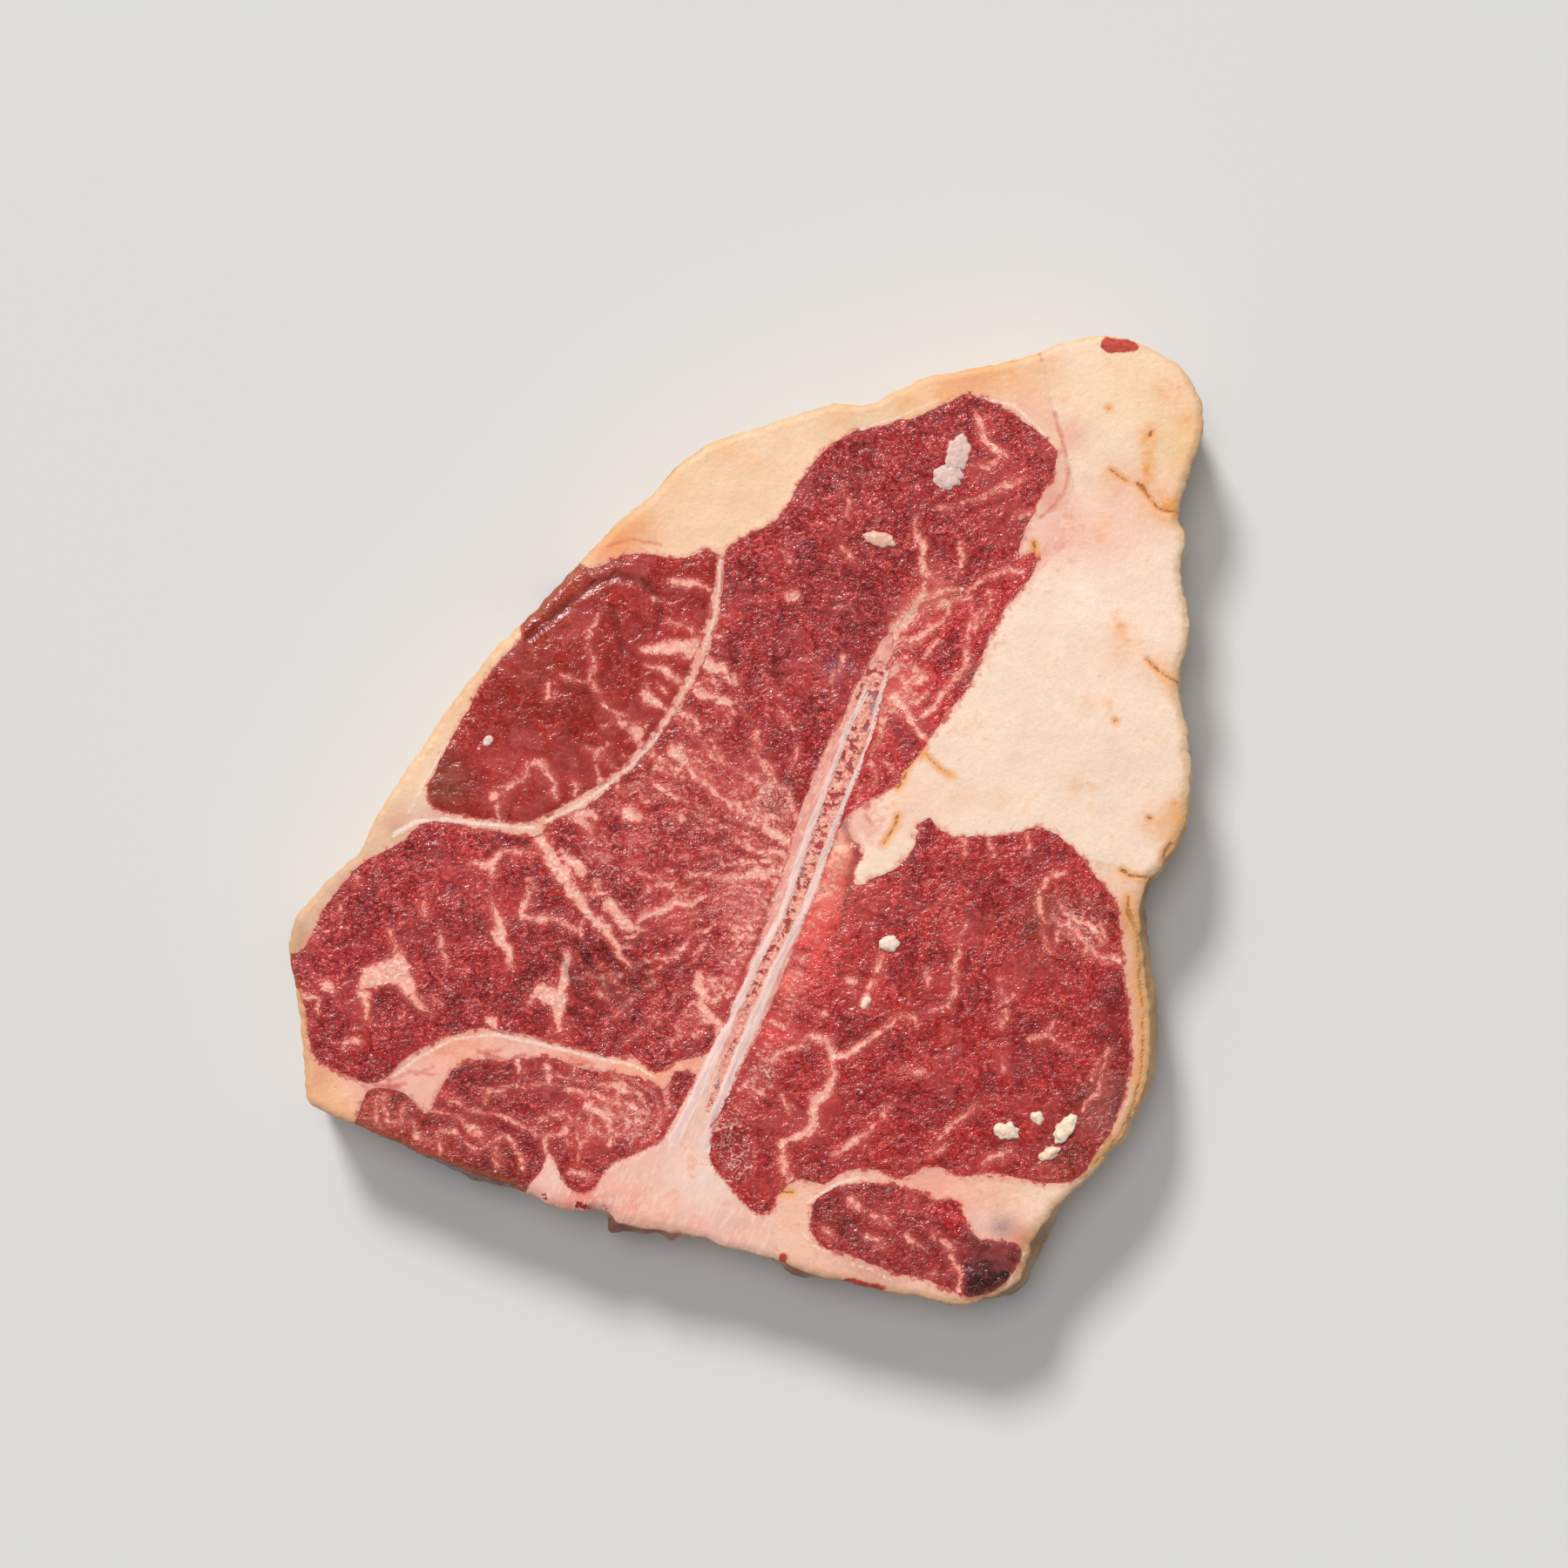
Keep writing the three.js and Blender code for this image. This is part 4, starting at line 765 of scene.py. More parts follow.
def rawLean():
    # Raw beef muscle sawn across its fibres: wet and red, darker where juice lies and brighter along the
    # fibres, with ragged threads and flecks of fat between the bundles and a coat of juice that glitters.
    look = {
        # sizes of the patterns in millimetres, and the colours
        "bend": 4.0, "bendBy": (12.0, 12.0, 3.0), "field": 9.0, "filmReach": 13.0, "clump": 2.8, "grain": 1.1,
        "drop": 0.6,
        "fibreLong": 5.0, "fibreWide": 0.9, "fleckLong": 3.8, "fleckWide": 0.8, "beadLong": 1.0,
        "beadWide": 0.55, "thread": 9.0, "bundle": 2.6, "shred": 4.5,
        "dark": "#6C0C0C", "bright": "#E66052", "film": "#BE5250", "pinkFat": "#E28074", "fat": "#F5AE9A",
        "lace": "#F3BEAE", "rim": "#AA5E3A", "halo": "#DA5A50", "cream": "#FBD6C4", "shreds": "#DDB98C",
    }
    material, tree, shader = newMaterial("rawBeefLean", {
        "IOR": 1.38, "Specular IOR Level": 0.3, "Coat Roughness": 0.25, "Coat IOR": 1.9,
        "Subsurface Weight": 0.1, "Subsurface Scale": 0.001, "Subsurface Radius": (1.0, 0.25, 0.15),
    })
    tint, sideTint = (add(tree, "Attribute", output="Color", attribute_name=name)
                      for name in ("tint", "sideTint"))
    thread, meet, edge, onSide, cleft, flecks, lie, coarse, lace = (
        add(tree, "Attribute", output="Fac", attribute_name=name)
        for name in ("fatThread", "meet", "edge", "onSide", "cleft", "mixing", "fibre", "coarse", "lace"))
    place = add(tree, "TexCoord", output="Object")
    spot = add(tree, "Mapping", {"Vector": place, "Scale": (1000, 1000, 260)})
    bend = add(tree, "TexNoise", {"Vector": spot, "Scale": 1 / look["bend"], "Detail": 3.0}, "Color")
    bent = add(tree, "VectorMath", (bend, look["bendBy"], spot), operation="MULTIPLY_ADD")
    turned = add(tree, "VectorRotate", {"Vector": bent, "Angle": lie}, rotation_type="Z_AXIS")

    # patterns, from broad fields down to drops of juice
    field = add(tree, "TexNoise", {"Vector": bent, "Scale": 1 / look["field"], "Detail": 3.0})
    film = add(tree, "TexNoise", {"Vector": bent, "Scale": 1 / look["filmReach"], "Detail": 2.0})
    clump = add(tree, "TexNoise", {"Vector": bent, "Scale": 1 / look["clump"], "Detail": 4.0,
                                   "Roughness": 0.65})
    grain = add(tree, "TexNoise", {"Vector": spot, "Scale": 1 / look["grain"], "Detail": 1.5})
    drops = add(tree, "TexNoise", {"Vector": spot, "Scale": 1 / look["drop"], "Detail": 1.0})
    along = add(tree, "Mapping", {"Vector": turned,
                                  "Scale": (1 / look["fibreLong"], 1 / look["fibreWide"], 1.0)})
    fibres = add(tree, "TexNoise", {"Vector": along, "Scale": 1.0, "Detail": 2.0, "Roughness": 0.6})

    # dark juice, brighter fibre and a milky film. Noise lies about 0.5, so a sum of it starts below zero.
    uneven = add(tree, "Math", (coarse, 0.95, 0.35), **timesPlus)
    tone = -4.85
    for pattern, weight in ((field, 1.9), (clump, 2.0), (fibres, 3.0), (grain, 2.6)):
        tone = add(tree, "Math", (pattern, weight, tone), **timesPlus)
    tone = add(tree, "Math", (tone, uneven, 0.1), **timesPlus)
    shade = add(tree, "MapRange", (tone, -1.0, 1.0, 0.58, 1.46))
    deep = add(tree, "MapRange", (tone, -1.3, -0.2, 0.75, 0.0), **soft)
    high = add(tree, "MapRange", (tone, 0.2, 1.3, 0.0, 0.65), **soft)
    filmed = add(tree, "MapRange", (film, 0.52, 0.66, 0.0, 0.35), **soft)

    # short flecks of fat along the fibres, more of them where the part is richer
    across = add(tree, "Mapping", {"Vector": turned, "Location": (9.0, 4.0, 0.0),
                                   "Scale": (1 / look["fleckLong"], 1 / look["fleckWide"], 1.0)})
    fleck = add(tree, "TexNoise", {"Vector": across, "Scale": 1.0, "Detail": 3.0, "Roughness": 0.55})
    for pattern, weight in ((clump, 0.35), (flecks, 0.22)):
        fleck = add(tree, "Math", (pattern, weight, fleck), **timesPlus)
    fine = add(tree, "MapRange", (fleck, 0.96, 1.06, 0.0, 0.85), **soft)

    # hair-fine threads, along the contours of a smooth pattern and only here and there
    hair = add(tree, "TexNoise", {"Vector": bent, "Scale": 1 / look["thread"], "Detail": 1.0})
    hair = add(tree, "Math", (hair, 0.5), operation="SUBTRACT")
    hair = add(tree, "Math", (hair,), operation="ABSOLUTE")
    hair = add(tree, "MapRange", (hair, 0.004, 0.02, 0.75, 0.0))
    patchy = add(tree, "MapRange", (field, 0.53, 0.6))
    hair = add(tree, "Math", (hair, patchy), operation="MULTIPLY")

    # the larger threads and patches: ragged, pink at their borders, paler inside, with specks of cream
    ragged = -3.65
    for pattern, weight in ((clump, 4.0), (fibres, 2.2), (grain, 1.5)):
        ragged = add(tree, "Math", (pattern, weight, ragged), **timesPlus)
    vein = add(tree, "Math", (ragged, thread), operation="ADD")
    halo = add(tree, "MapRange", (vein, 0.3, 2.2, 0.32, 0.0), **soft)
    pink = add(tree, "MapRange", (vein, -0.15, 0.65, 0.9, 0.0), **soft)
    pale = add(tree, "MapRange", (vein, -0.6, 0.1, 0.95, 0.0), **soft)
    core = add(tree, "Math", (vein, -0.8), operation="MAXIMUM")
    cream = add(tree, "Math", (grain, -6.0, 3.0), **timesPlus)
    cream = add(tree, "Math", (cream, core), operation="ADD")
    cream = add(tree, "MapRange", (cream, -1.5, -0.7, 0.8, 0.0), **soft)

    # a lace of pale strands round small bundles, only in a few places
    cells = add(tree, "TexVoronoi", {"Vector": bent, "Scale": 1 / look["bundle"]}, "Distance",
                feature="DISTANCE_TO_EDGE", voronoi_dimensions="2D")
    cells = add(tree, "Math", (grain, 0.2, cells), **timesPlus)
    cells = add(tree, "MapRange", (cells, 0.11, 0.2, 0.85, 0.0), **soft)
    laced = add(tree, "Math", (clump, 1.6, lace), **timesPlus)
    laced = add(tree, "MapRange", (laced, 1.05, 1.35))
    laced = add(tree, "Math", (laced, cells), operation="MULTIPLY")

    # a torn border where the lean meets fat or bone, and a dry rim
    torn = add(tree, "Math", (ragged, meet), operation="ADD")
    torn = add(tree, "MapRange", (torn, -0.3, 0.5, 0.9, 0.0), **soft)
    dryRim = add(tree, "Math", (clump, 6.0, edge), **timesPlus)
    dryRim = add(tree, "MapRange", (dryRim, 3.0, 5.0, 0.7, 0.0), **soft)

    colour = add(tree, "VectorMath", {0: tint, "Scale": shade}, operation="SCALE")
    for mask, coat in ((deep, "dark"), (high, "bright"), (filmed, "film"), (fine, "pinkFat"),
                       (hair, "pinkFat"), (halo, "halo"), (pink, "pinkFat"), (pale, "fat"), (cream, "cream"),
                       (laced, "lace"), (torn, "pinkFat"), (dryRim, "rim")):
        colour = add(tree, "Mix", {0: mask, 6: colour, 7: look[coat]}, 2, **colours)

    # painted shade darkening the lean along the clefts, and the dried outer side
    shade = add(tree, "MapRange", (cleft, -0.3, 0.8, 0.62, 1.0))
    colour = add(tree, "VectorMath", {0: colour, "Scale": shade}, operation="SCALE")
    dried = add(tree, "Math", (onSide, 0.8), operation="MULTIPLY")
    shreds = add(tree, "TexNoise", {"Vector": place, "Scale": 1000 / look["shred"], "Detail": 4.0,
                                    "Roughness": 0.6})
    skinTone = add(tree, "MapRange", (shreds, 0.36, 0.64, 0.6, 1.3))
    skin = add(tree, "VectorMath", {0: sideTint, "Scale": skinTone}, operation="SCALE")
    shreds = add(tree, "Math", (shreds, 24.0, -12.0), **timesPlus)
    shreds = add(tree, "Math", (shreds, meet), operation="ADD")
    shreds = add(tree, "MapRange", (shreds, 3.4, 6.0, 1.0, 0.0), **soft)
    skin = add(tree, "Mix", {0: shreds, 6: skin, 7: look["shreds"]}, 2, **colours)
    colour = add(tree, "Mix", {0: dried, 6: colour, 7: skin}, 2, **colours)

    # relief of the drops, the grain, the fibres and the bundles in millimetres, smoother under film and fat
    short = add(tree, "Mapping", {"Vector": turned,
                                  "Scale": (1 / look["beadLong"], 1 / look["beadWide"], 1.0)})
    beads = add(tree, "TexNoise", {"Vector": short, "Scale": 1.0, "Detail": 1.0})
    relief = -0.61
    for pattern, weight in ((drops, 0.2), (grain, 0.4), (beads, 0.36), (fibres, 0.26)):
        relief = add(tree, "Math", (pattern, weight, relief), **timesPlus)
    wetter = add(tree, "MapRange", (film, 0.48, 0.62, 1.0, 0.35), **soft)
    firm = add(tree, "Math", (pink, torn), operation="MAXIMUM")
    firm = add(tree, "Math", (firm, laced), operation="MAXIMUM")
    rough = add(tree, "MapRange", (firm, 0.0, 1.0, 1.0, 0.12))
    for share in (wetter, coarse, rough):
        relief = add(tree, "Math", (relief, share), operation="MULTIPLY")
    lumps = add(tree, "TexNoise", {"Vector": bent, "Scale": 1 / look["clump"], "Detail": 1.0})
    lumps = add(tree, "Math", (lumps, uneven), operation="MULTIPLY")
    for pattern, weight in ((firm, 0.12), (lumps, 0.45)):
        relief = add(tree, "Math", (pattern, weight, relief), **timesPlus)
    bump = add(tree, "Bump", {"Height": relief, "Strength": 1.0, "Distance": 0.001})

    # the gloss of the juice, less of it on fat and where the lean has dried
    gloss = add(tree, "MapRange", (field, 0.4, 0.6, 0.5, 0.3))
    wet = add(tree, "MapRange", (clump, 0.42, 0.6, 0.25, 1.0))
    dull = add(tree, "Math", (firm, dried), operation="MAXIMUM")
    dull = add(tree, "Math", (dull, dryRim), operation="MAXIMUM")
    dull = add(tree, "MapRange", (dull, 0.0, 1.0, 1.0, 0.25))
    wet = add(tree, "Math", (wet, dull), operation="MULTIPLY")
    for socket, source in (("Base Color", colour), ("Roughness", gloss), ("Normal", bump),
                           ("Coat Normal", bump), ("Coat Weight", wet)):
        tree.links.new(source, shader.inputs[socket])
    return material


def beefFat():
    # Firm beef fat sawn flat: waxy cream, pink where blood has soaked in beside the lean, with stained
    # cracks, and a wrinkled yellow-brown skin where it has dried on the outside.
    look = {
        # sizes of the patterns in millimetres, and the colours
        "mottle": 11.0, "smear": 2.8, "wax": 0.9, "wrinkle": 2.6,
        "pink": "#E99A86", "red": "#BA443A", "stain": "#EFA45C", "crackDark": "#B4683A", "redLine": "#D8685A",
        "blood": "#BE3430", "smudge": "#EDBE92", "rim": "#D9AE7C", "crest": "#FCE6DA",
    }
    material, tree, shader = newMaterial("sawnBeefFat", {
        "IOR": 1.45, "Specular IOR Level": 0.35,
        "Subsurface Weight": 0.2, "Subsurface Scale": 0.002, "Subsurface Radius": (1.0, 0.65, 0.4),
    })
    tint, sideTint = (add(tree, "Attribute", output="Color", attribute_name=name)
                      for name in ("tint", "sideTint"))
    meet, soak, edge, onSide, crack, stained, redLine, crestLine, blood = (
        add(tree, "Attribute", output="Fac", attribute_name=name)
        for name in ("meet", "mixing", "edge", "onSide", "crack", "stained", "redLine", "crestLine", "blood"))
    place = add(tree, "TexCoord", output="Object")
    spot = add(tree, "Mapping", {"Vector": place, "Scale": (1000, 1000, 1000)})

    # waxy mottling and faint smudges
    mottle = add(tree, "TexNoise", {"Vector": spot, "Scale": 1 / look["mottle"], "Detail": 5.0,
                                    "Roughness": 0.6, "Distortion": 0.8})
    smear = add(tree, "TexNoise", {"Vector": spot, "Scale": 1 / look["smear"], "Detail": 4.0,
                                   "Roughness": 0.65})
    wax = add(tree, "TexNoise", {"Vector": spot, "Scale": 1 / look["wax"], "Detail": 3.0, "Roughness": 0.6})
    tone = add(tree, "MapRange", (mottle, 0.35, 0.65, 0.94, 1.03))
    fine = add(tree, "MapRange", (wax, 0.3, 0.7, 0.96, 1.03))
    tone = add(tree, "Math", (tone, fine), operation="MULTIPLY")
    smudge = add(tree, "Math", (smear, 0.6, mottle), **timesPlus)
    smudge = add(tree, "MapRange", (smudge, 0.88, 1.02, 0.0, 0.4), **soft)

    # pink soaked in from the lean, and shreds of lean left on the very border
    border = -3.8
    for pattern, weight in ((smear, 6.0), (wax, 1.6)):
        border = add(tree, "Math", (pattern, weight, border), **timesPlus)
    border = add(tree, "Math", (border, meet), operation="ADD")
    border = add(tree, "Math", (border, soak), operation="SUBTRACT")
    pink = add(tree, "MapRange", (border, 0.1, 1.4, 0.75, 0.0), **soft)
    red = add(tree, "MapRange", (border, -0.3, 0.3, 0.9, 0.0), **soft)

    # blushes of pink and knobs of cream where the fat is richest in blood, and white crests along the seams
    blush = add(tree, "Math", (soak, 0.35, smear), **timesPlus)
    blush = add(tree, "MapRange", (blush, 0.64, 0.8, 0.0, 0.55), **soft)
    knobs = mottle
    for pattern, weight in ((soak, 0.35), (wax, 0.5)):
        knobs = add(tree, "Math", (pattern, weight, knobs), **timesPlus)
    knobs = add(tree, "MapRange", (knobs, 0.86, 0.98, 0.0, 0.28), **soft)
    knobs = add(tree, "Math", (knobs, soak), operation="MULTIPLY", use_clamp=True)
    crest = add(tree, "Math", (wax, 1.6, crestLine), **timesPlus)
    crest = add(tree, "MapRange", (crest, 0.45, 1.1, 0.8, 0.0), **soft)

    # orange stains, the cracks in them, fine red lines, and the rim drying yellow
    crackEdge = add(tree, "Math", (smear, 0.5), operation="SUBTRACT")
    crackEdge = add(tree, "Math", (crackEdge, crack), operation="ADD")
    halo = add(tree, "MapRange", (crackEdge, 0.0, 2.0, 0.8, 0.0), **soft)
    blot = -1.05
    for pattern, weight in ((smear, 2.2), (mottle, 1.2)):
        blot = add(tree, "Math", (pattern, weight, blot), **timesPlus)
    blot = add(tree, "Math", (blot, stained), operation="MULTIPLY")
    stain = add(tree, "Math", (blot, halo), operation="MAXIMUM", use_clamp=True)
    split = add(tree, "MapRange", (crackEdge, -0.15, 0.2, 0.85, 0.0))
    reddened = add(tree, "Math", (smear, 2.4, redLine), **timesPlus)
    reddened = add(tree, "MapRange", (reddened, 0.9, 2.0, 0.6, 0.0), **soft)
    dryRim = add(tree, "Math", (smear, 7.0, edge), **timesPlus)
    dryRim = add(tree, "MapRange", (dryRim, 3.4, 6.4, 0.6, 0.0), **soft)

    colour = add(tree, "VectorMath", {0: tint, "Scale": tone}, operation="SCALE")
    for mask, coat in ((smudge, "smudge"), (pink, "pink"), (red, "red"), (blush, "pink"), (knobs, "crest"),
                       (crest, "crest"), (stain, "stain"), (split, "crackDark"), (reddened, "redLine"),
                       (dryRim, "rim")):
        colour = add(tree, "Mix", {0: mask, 6: colour, 7: look[coat]}, 2, **colours)

    # the wrinkled outer skin, and spots of blood on the cut face
    flat = add(tree, "Mapping", {"Vector": spot, "Scale": (0.3, 0.3, 1.0)})
    folds = add(tree, "TexNoise", {"Vector": flat, "Scale": 1 / look["wrinkle"], "Detail": 3.0,
                                   "Roughness": 0.5, "Distortion": 0.6})
    broad = add(tree, "MapRange", (mottle, 0.35, 0.65, 0.8, 1.12))
    skinTone = add(tree, "MapRange", (folds, 0.32, 0.55, 0.72, 1.05))
    skinTone = add(tree, "Math", (skinTone, broad), operation="MULTIPLY")
    skin = add(tree, "VectorMath", {0: sideTint, "Scale": skinTone}, operation="SCALE")
    dried = add(tree, "Math", (onSide, 0.85), operation="MULTIPLY")
    juice = add(tree, "MapRange", (wax, 0.35, 0.65, 0.7, 1.25))
    juice = add(tree, "VectorMath", {0: linearColour(look["blood"]), "Scale": juice}, operation="SCALE")
    bloody = blood
    for pattern, weight in ((smear, 2.0), (onSide, 0.9)):
        bloody = add(tree, "Math", (pattern, weight, bloody), **timesPlus)
    bloody = add(tree, "MapRange", (bloody, 0.8, 1.4, 0.95, 0.0), **soft)
    for mask, coat in ((dried, skin), (bloody, juice)):
        colour = add(tree, "Mix", {0: mask, 6: colour, 7: coat}, 2, **colours)

    # relief in millimetres: a little wax on the cut face, folds on the skin, a step at the stained splits
    relief = add(tree, "Math", (wax, 0.1), operation="MULTIPLY")
    for pattern, weight in ((smear, 0.3), (folds, onSide), (split, -0.25)):
        relief = add(tree, "Math", (pattern, weight, relief), **timesPlus)
    bump = add(tree, "Bump", {"Height": relief, "Strength": 1.0, "Distance": 0.001})
    gloss = add(tree, "MapRange", (mottle, 0.3, 0.7, 0.4, 0.56))
    gloss = add(tree, "Math", (onSide, 0.15, gloss), **timesPlus)
    for socket, source in (("Base Color", colour), ("Roughness", gloss), ("Normal", bump)):
        tree.links.new(source, shader.inputs[socket])
    return material


def sawnBone():
    # A sawn vertebra: two hard pinkish-white rims with a spongy, blood-stained core between them, running out
    # into a foot of cream gristle.
    look = {
        # sizes of the patterns in millimetres, and the colours
        "pit": 2.0, "crumb": 0.9, "streak": 1.2, "wax": 6.0, "greyReach": 8.0, "fold": 5.0,
        "rim": "#F8D6CC", "lilac": "#E2C0BE", "crumbs": "#F4BCA8", "sponge": "#E67C6A", "hollow": "#A8242A",
        "grey": "#A07A86", "red": "#C8504A", "cream": "#F8D8C8", "blotch": "#F0B09A", "blood": "#9A2026",
    }
    material, tree, shader = newMaterial("sawnBeefBone", {
        "IOR": 1.5, "Specular IOR Level": 0.4, "Coat Roughness": 0.2,
        "Subsurface Weight": 0.15, "Subsurface Scale": 0.0012, "Subsurface Radius": (1.0, 0.6, 0.5),
    })
    tint, sideTint = (add(tree, "Attribute", output="Color", attribute_name=name)
                      for name in ("tint", "sideTint"))
    marrow, hardRim, meet, onSide, blood, lie = (
        add(tree, "Attribute", output="Fac", attribute_name=name)
        for name in ("marrow", "hardRim", "meet", "onSide", "blood", "fibre"))
    place = add(tree, "TexCoord", output="Object")
    spot = add(tree, "Mapping", {"Vector": place, "Scale": (1000, 1000, 400)})
    turned = add(tree, "VectorRotate", {"Vector": spot, "Angle": lie}, rotation_type="Z_AXIS")

    # streaks along the bone, and waxy gristle
    along = add(tree, "Mapping", {"Vector": turned, "Scale": (0.14, 1.0, 0.5)})
    streak = add(tree, "TexNoise", {"Vector": along, "Scale": 1 / look["streak"], "Detail": 4.0,
                                    "Roughness": 0.65})
    tone = add(tree, "MapRange", (streak, 0.3, 0.7, 0.86, 1.1))
    shreds = add(tree, "Mapping", {"Vector": turned, "Scale": (0.35, 1.0, 0.5)})
    shreds = add(tree, "TexNoise", {"Vector": shreds, "Scale": 1 / look["crumb"], "Detail": 3.0,
                                    "Roughness": 0.65})
    pale = add(tree, "MapRange", (shreds, 0.48, 0.62, 0.0, 0.5), **soft)
    wax = add(tree, "TexNoise", {"Vector": spot, "Scale": 1 / look["wax"], "Detail": 4.0, "Roughness": 0.6,
                                 "Distortion": 0.5})
    waxy = add(tree, "MapRange", (wax, 0.3, 0.7, 0.93, 1.06))
    blotch = add(tree, "MapRange", (wax, 0.54, 0.64, 0.0, 0.75), **soft)

    # the spongy core: pale crumbs of bone round red and grey hollows
    pit = add(tree, "TexNoise", {"Vector": spot, "Scale": 1 / look["pit"], "Detail": 3.0, "Roughness": 0.6})
    hollow = add(tree, "MapRange", (pit, 0.52, 0.58), **soft)
    hollowed = add(tree, "Math", (hollow, 0.9), operation="MULTIPLY")
    crumb = add(tree, "TexNoise", {"Vector": spot, "Scale": 1 / look["crumb"], "Detail": 3.0,
                                   "Roughness": 0.7})
    crumbs = add(tree, "MapRange", (crumb, 0.38, 0.58), **soft)
    greyer = add(tree, "TexNoise", {"Vector": spot, "Scale": 1 / look["greyReach"]})
    greyer = add(tree, "MapRange", (greyer, 0.6, 0.7))
    inHollow = add(tree, "Mix", {0: greyer, 6: look["hollow"], 7: look["grey"]}, 2, **colours)
    sponge = look["sponge"]
    for mask, coat in ((crumbs, look["crumbs"]), (hollowed, inHollow)):
        sponge = add(tree, "Mix", {0: mask, 6: sponge, 7: coat}, 2, **colours)
    ragged = add(tree, "Math", (crumb, 4.0, -2.0), **timesPlus)
    core = add(tree, "Math", (ragged, marrow), operation="ADD")
    core = add(tree, "MapRange", (core, -0.3, 0.3, 1.0, 0.0), **soft)

    # the hard rims, faintly lilac along their middle
    bands = add(tree, "Math", (streak, 3.0, -1.5), **timesPlus)
    plate = add(tree, "Math", (bands, hardRim), operation="ADD")
    middle = add(tree, "MapRange", (plate, -1.1, -0.5, 0.7, 0.0))
    plate = add(tree, "MapRange", (plate, -0.35, 0.25, 0.95, 0.0), **soft)
    hard = add(tree, "Mix", {0: middle, 6: look["rim"], 7: look["lilac"]}, 2, **colours)
    hard = add(tree, "VectorMath", {0: hard, "Scale": tone}, operation="SCALE")

    # shreds of lean along its borders, blood, and the dried outer side
    torn = add(tree, "Math", (bands, meet), operation="ADD")
    torn = add(tree, "Math", (ragged, 0.8, torn), **timesPlus)
    torn = add(tree, "MapRange", (torn, -0.1, 0.6, 0.85, 0.0), **soft)
    bloody = blood
    for pattern, weight in ((crumb, 3.0), (onSide, 0.9)):
        bloody = add(tree, "Math", (pattern, weight, bloody), **timesPlus)
    bloody = add(tree, "MapRange", (bloody, 1.2, 1.7, 1.0, 0.0), **soft)
    dried = add(tree, "Math", (onSide, 0.92), operation="MULTIPLY")
    folds = add(tree, "TexNoise", {"Vector": place, "Scale": 1000 / look["fold"], "Detail": 4.0,
                                   "Roughness": 0.6})
    skinTone = add(tree, "MapRange", (folds, 0.36, 0.64, 0.55, 1.3))
    skin = add(tree, "VectorMath", {0: sideTint, "Scale": skinTone}, operation="SCALE")

    colour = add(tree, "VectorMath", {0: tint, "Scale": waxy}, operation="SCALE")
    for mask, coat in ((pale, look["cream"]), (blotch, look["blotch"]), (core, sponge), (plate, hard),
                       (torn, look["red"]), (bloody, look["blood"]), (dried, skin)):
        colour = add(tree, "Mix", {0: mask, 6: colour, 7: coat}, 2, **colours)

    # relief in millimetres
    relief = add(tree, "Math", (hollow, -0.16), operation="MULTIPLY")
    relief = add(tree, "Math", (crumb, 0.22, relief), **timesPlus)
    relief = add(tree, "Math", (relief, core), operation="MULTIPLY")
    foldDepth = add(tree, "Math", (onSide, 1.6), operation="MULTIPLY")
    for pattern, weight in ((streak, 0.1), (shreds, 0.12), (folds, foldDepth)):
        relief = add(tree, "Math", (pattern, weight, relief), **timesPlus)
    bump = add(tree, "Bump", {"Height": relief, "Strength": 1.0, "Distance": 0.001})
    gloss = add(tree, "MapRange", (streak, 0.3, 0.7, 0.34, 0.5))
    gloss = add(tree, "Math", (onSide, 0.25, gloss), **timesPlus)
    moist = add(tree, "MapRange", (onSide, 0.0, 1.0, 0.3, 0.0))
    for socket, source in (("Base Color", colour), ("Roughness", gloss), ("Coat Weight", moist),
                           ("Normal", bump)):
        tree.links.new(source, shader.inputs[socket])
    return material


lean = rawLean()
fat = beefFat()
bone = sawnBone()
print("materials made")

# What each part says of itself. Depths, rises and grain (size and height) are in millimetres, "fibre" is in
# degrees. A patch is x, y, reach and amount, and those under "patches" end in a colour and its strength.
plain = {"cleftDepth": 0.0, "crackDepth": 0.0, "marrowDepth": 0.0, "rimRise": 0.0, "fibre": 0, "coarse": 0.0,
         "mixing": 0.0, "mixingPatches": [], "smoothPatches": [], "lacePatches": []}
leanRelief = {**plain, "slot": "lean", "grain": [(7.0, 0.3), (2.8, 0.22), (1.4, 0.14)], "seamDip": 0.1,
              "cleftDepth": 0.45}
fatRelief = {**plain, "slot": "fat", "grain": [(14.0, 0.3), (4.0, 0.06)], "seamDip": 0.05, "cleftDepth": 0.5,
             "crackDepth": 0.25}

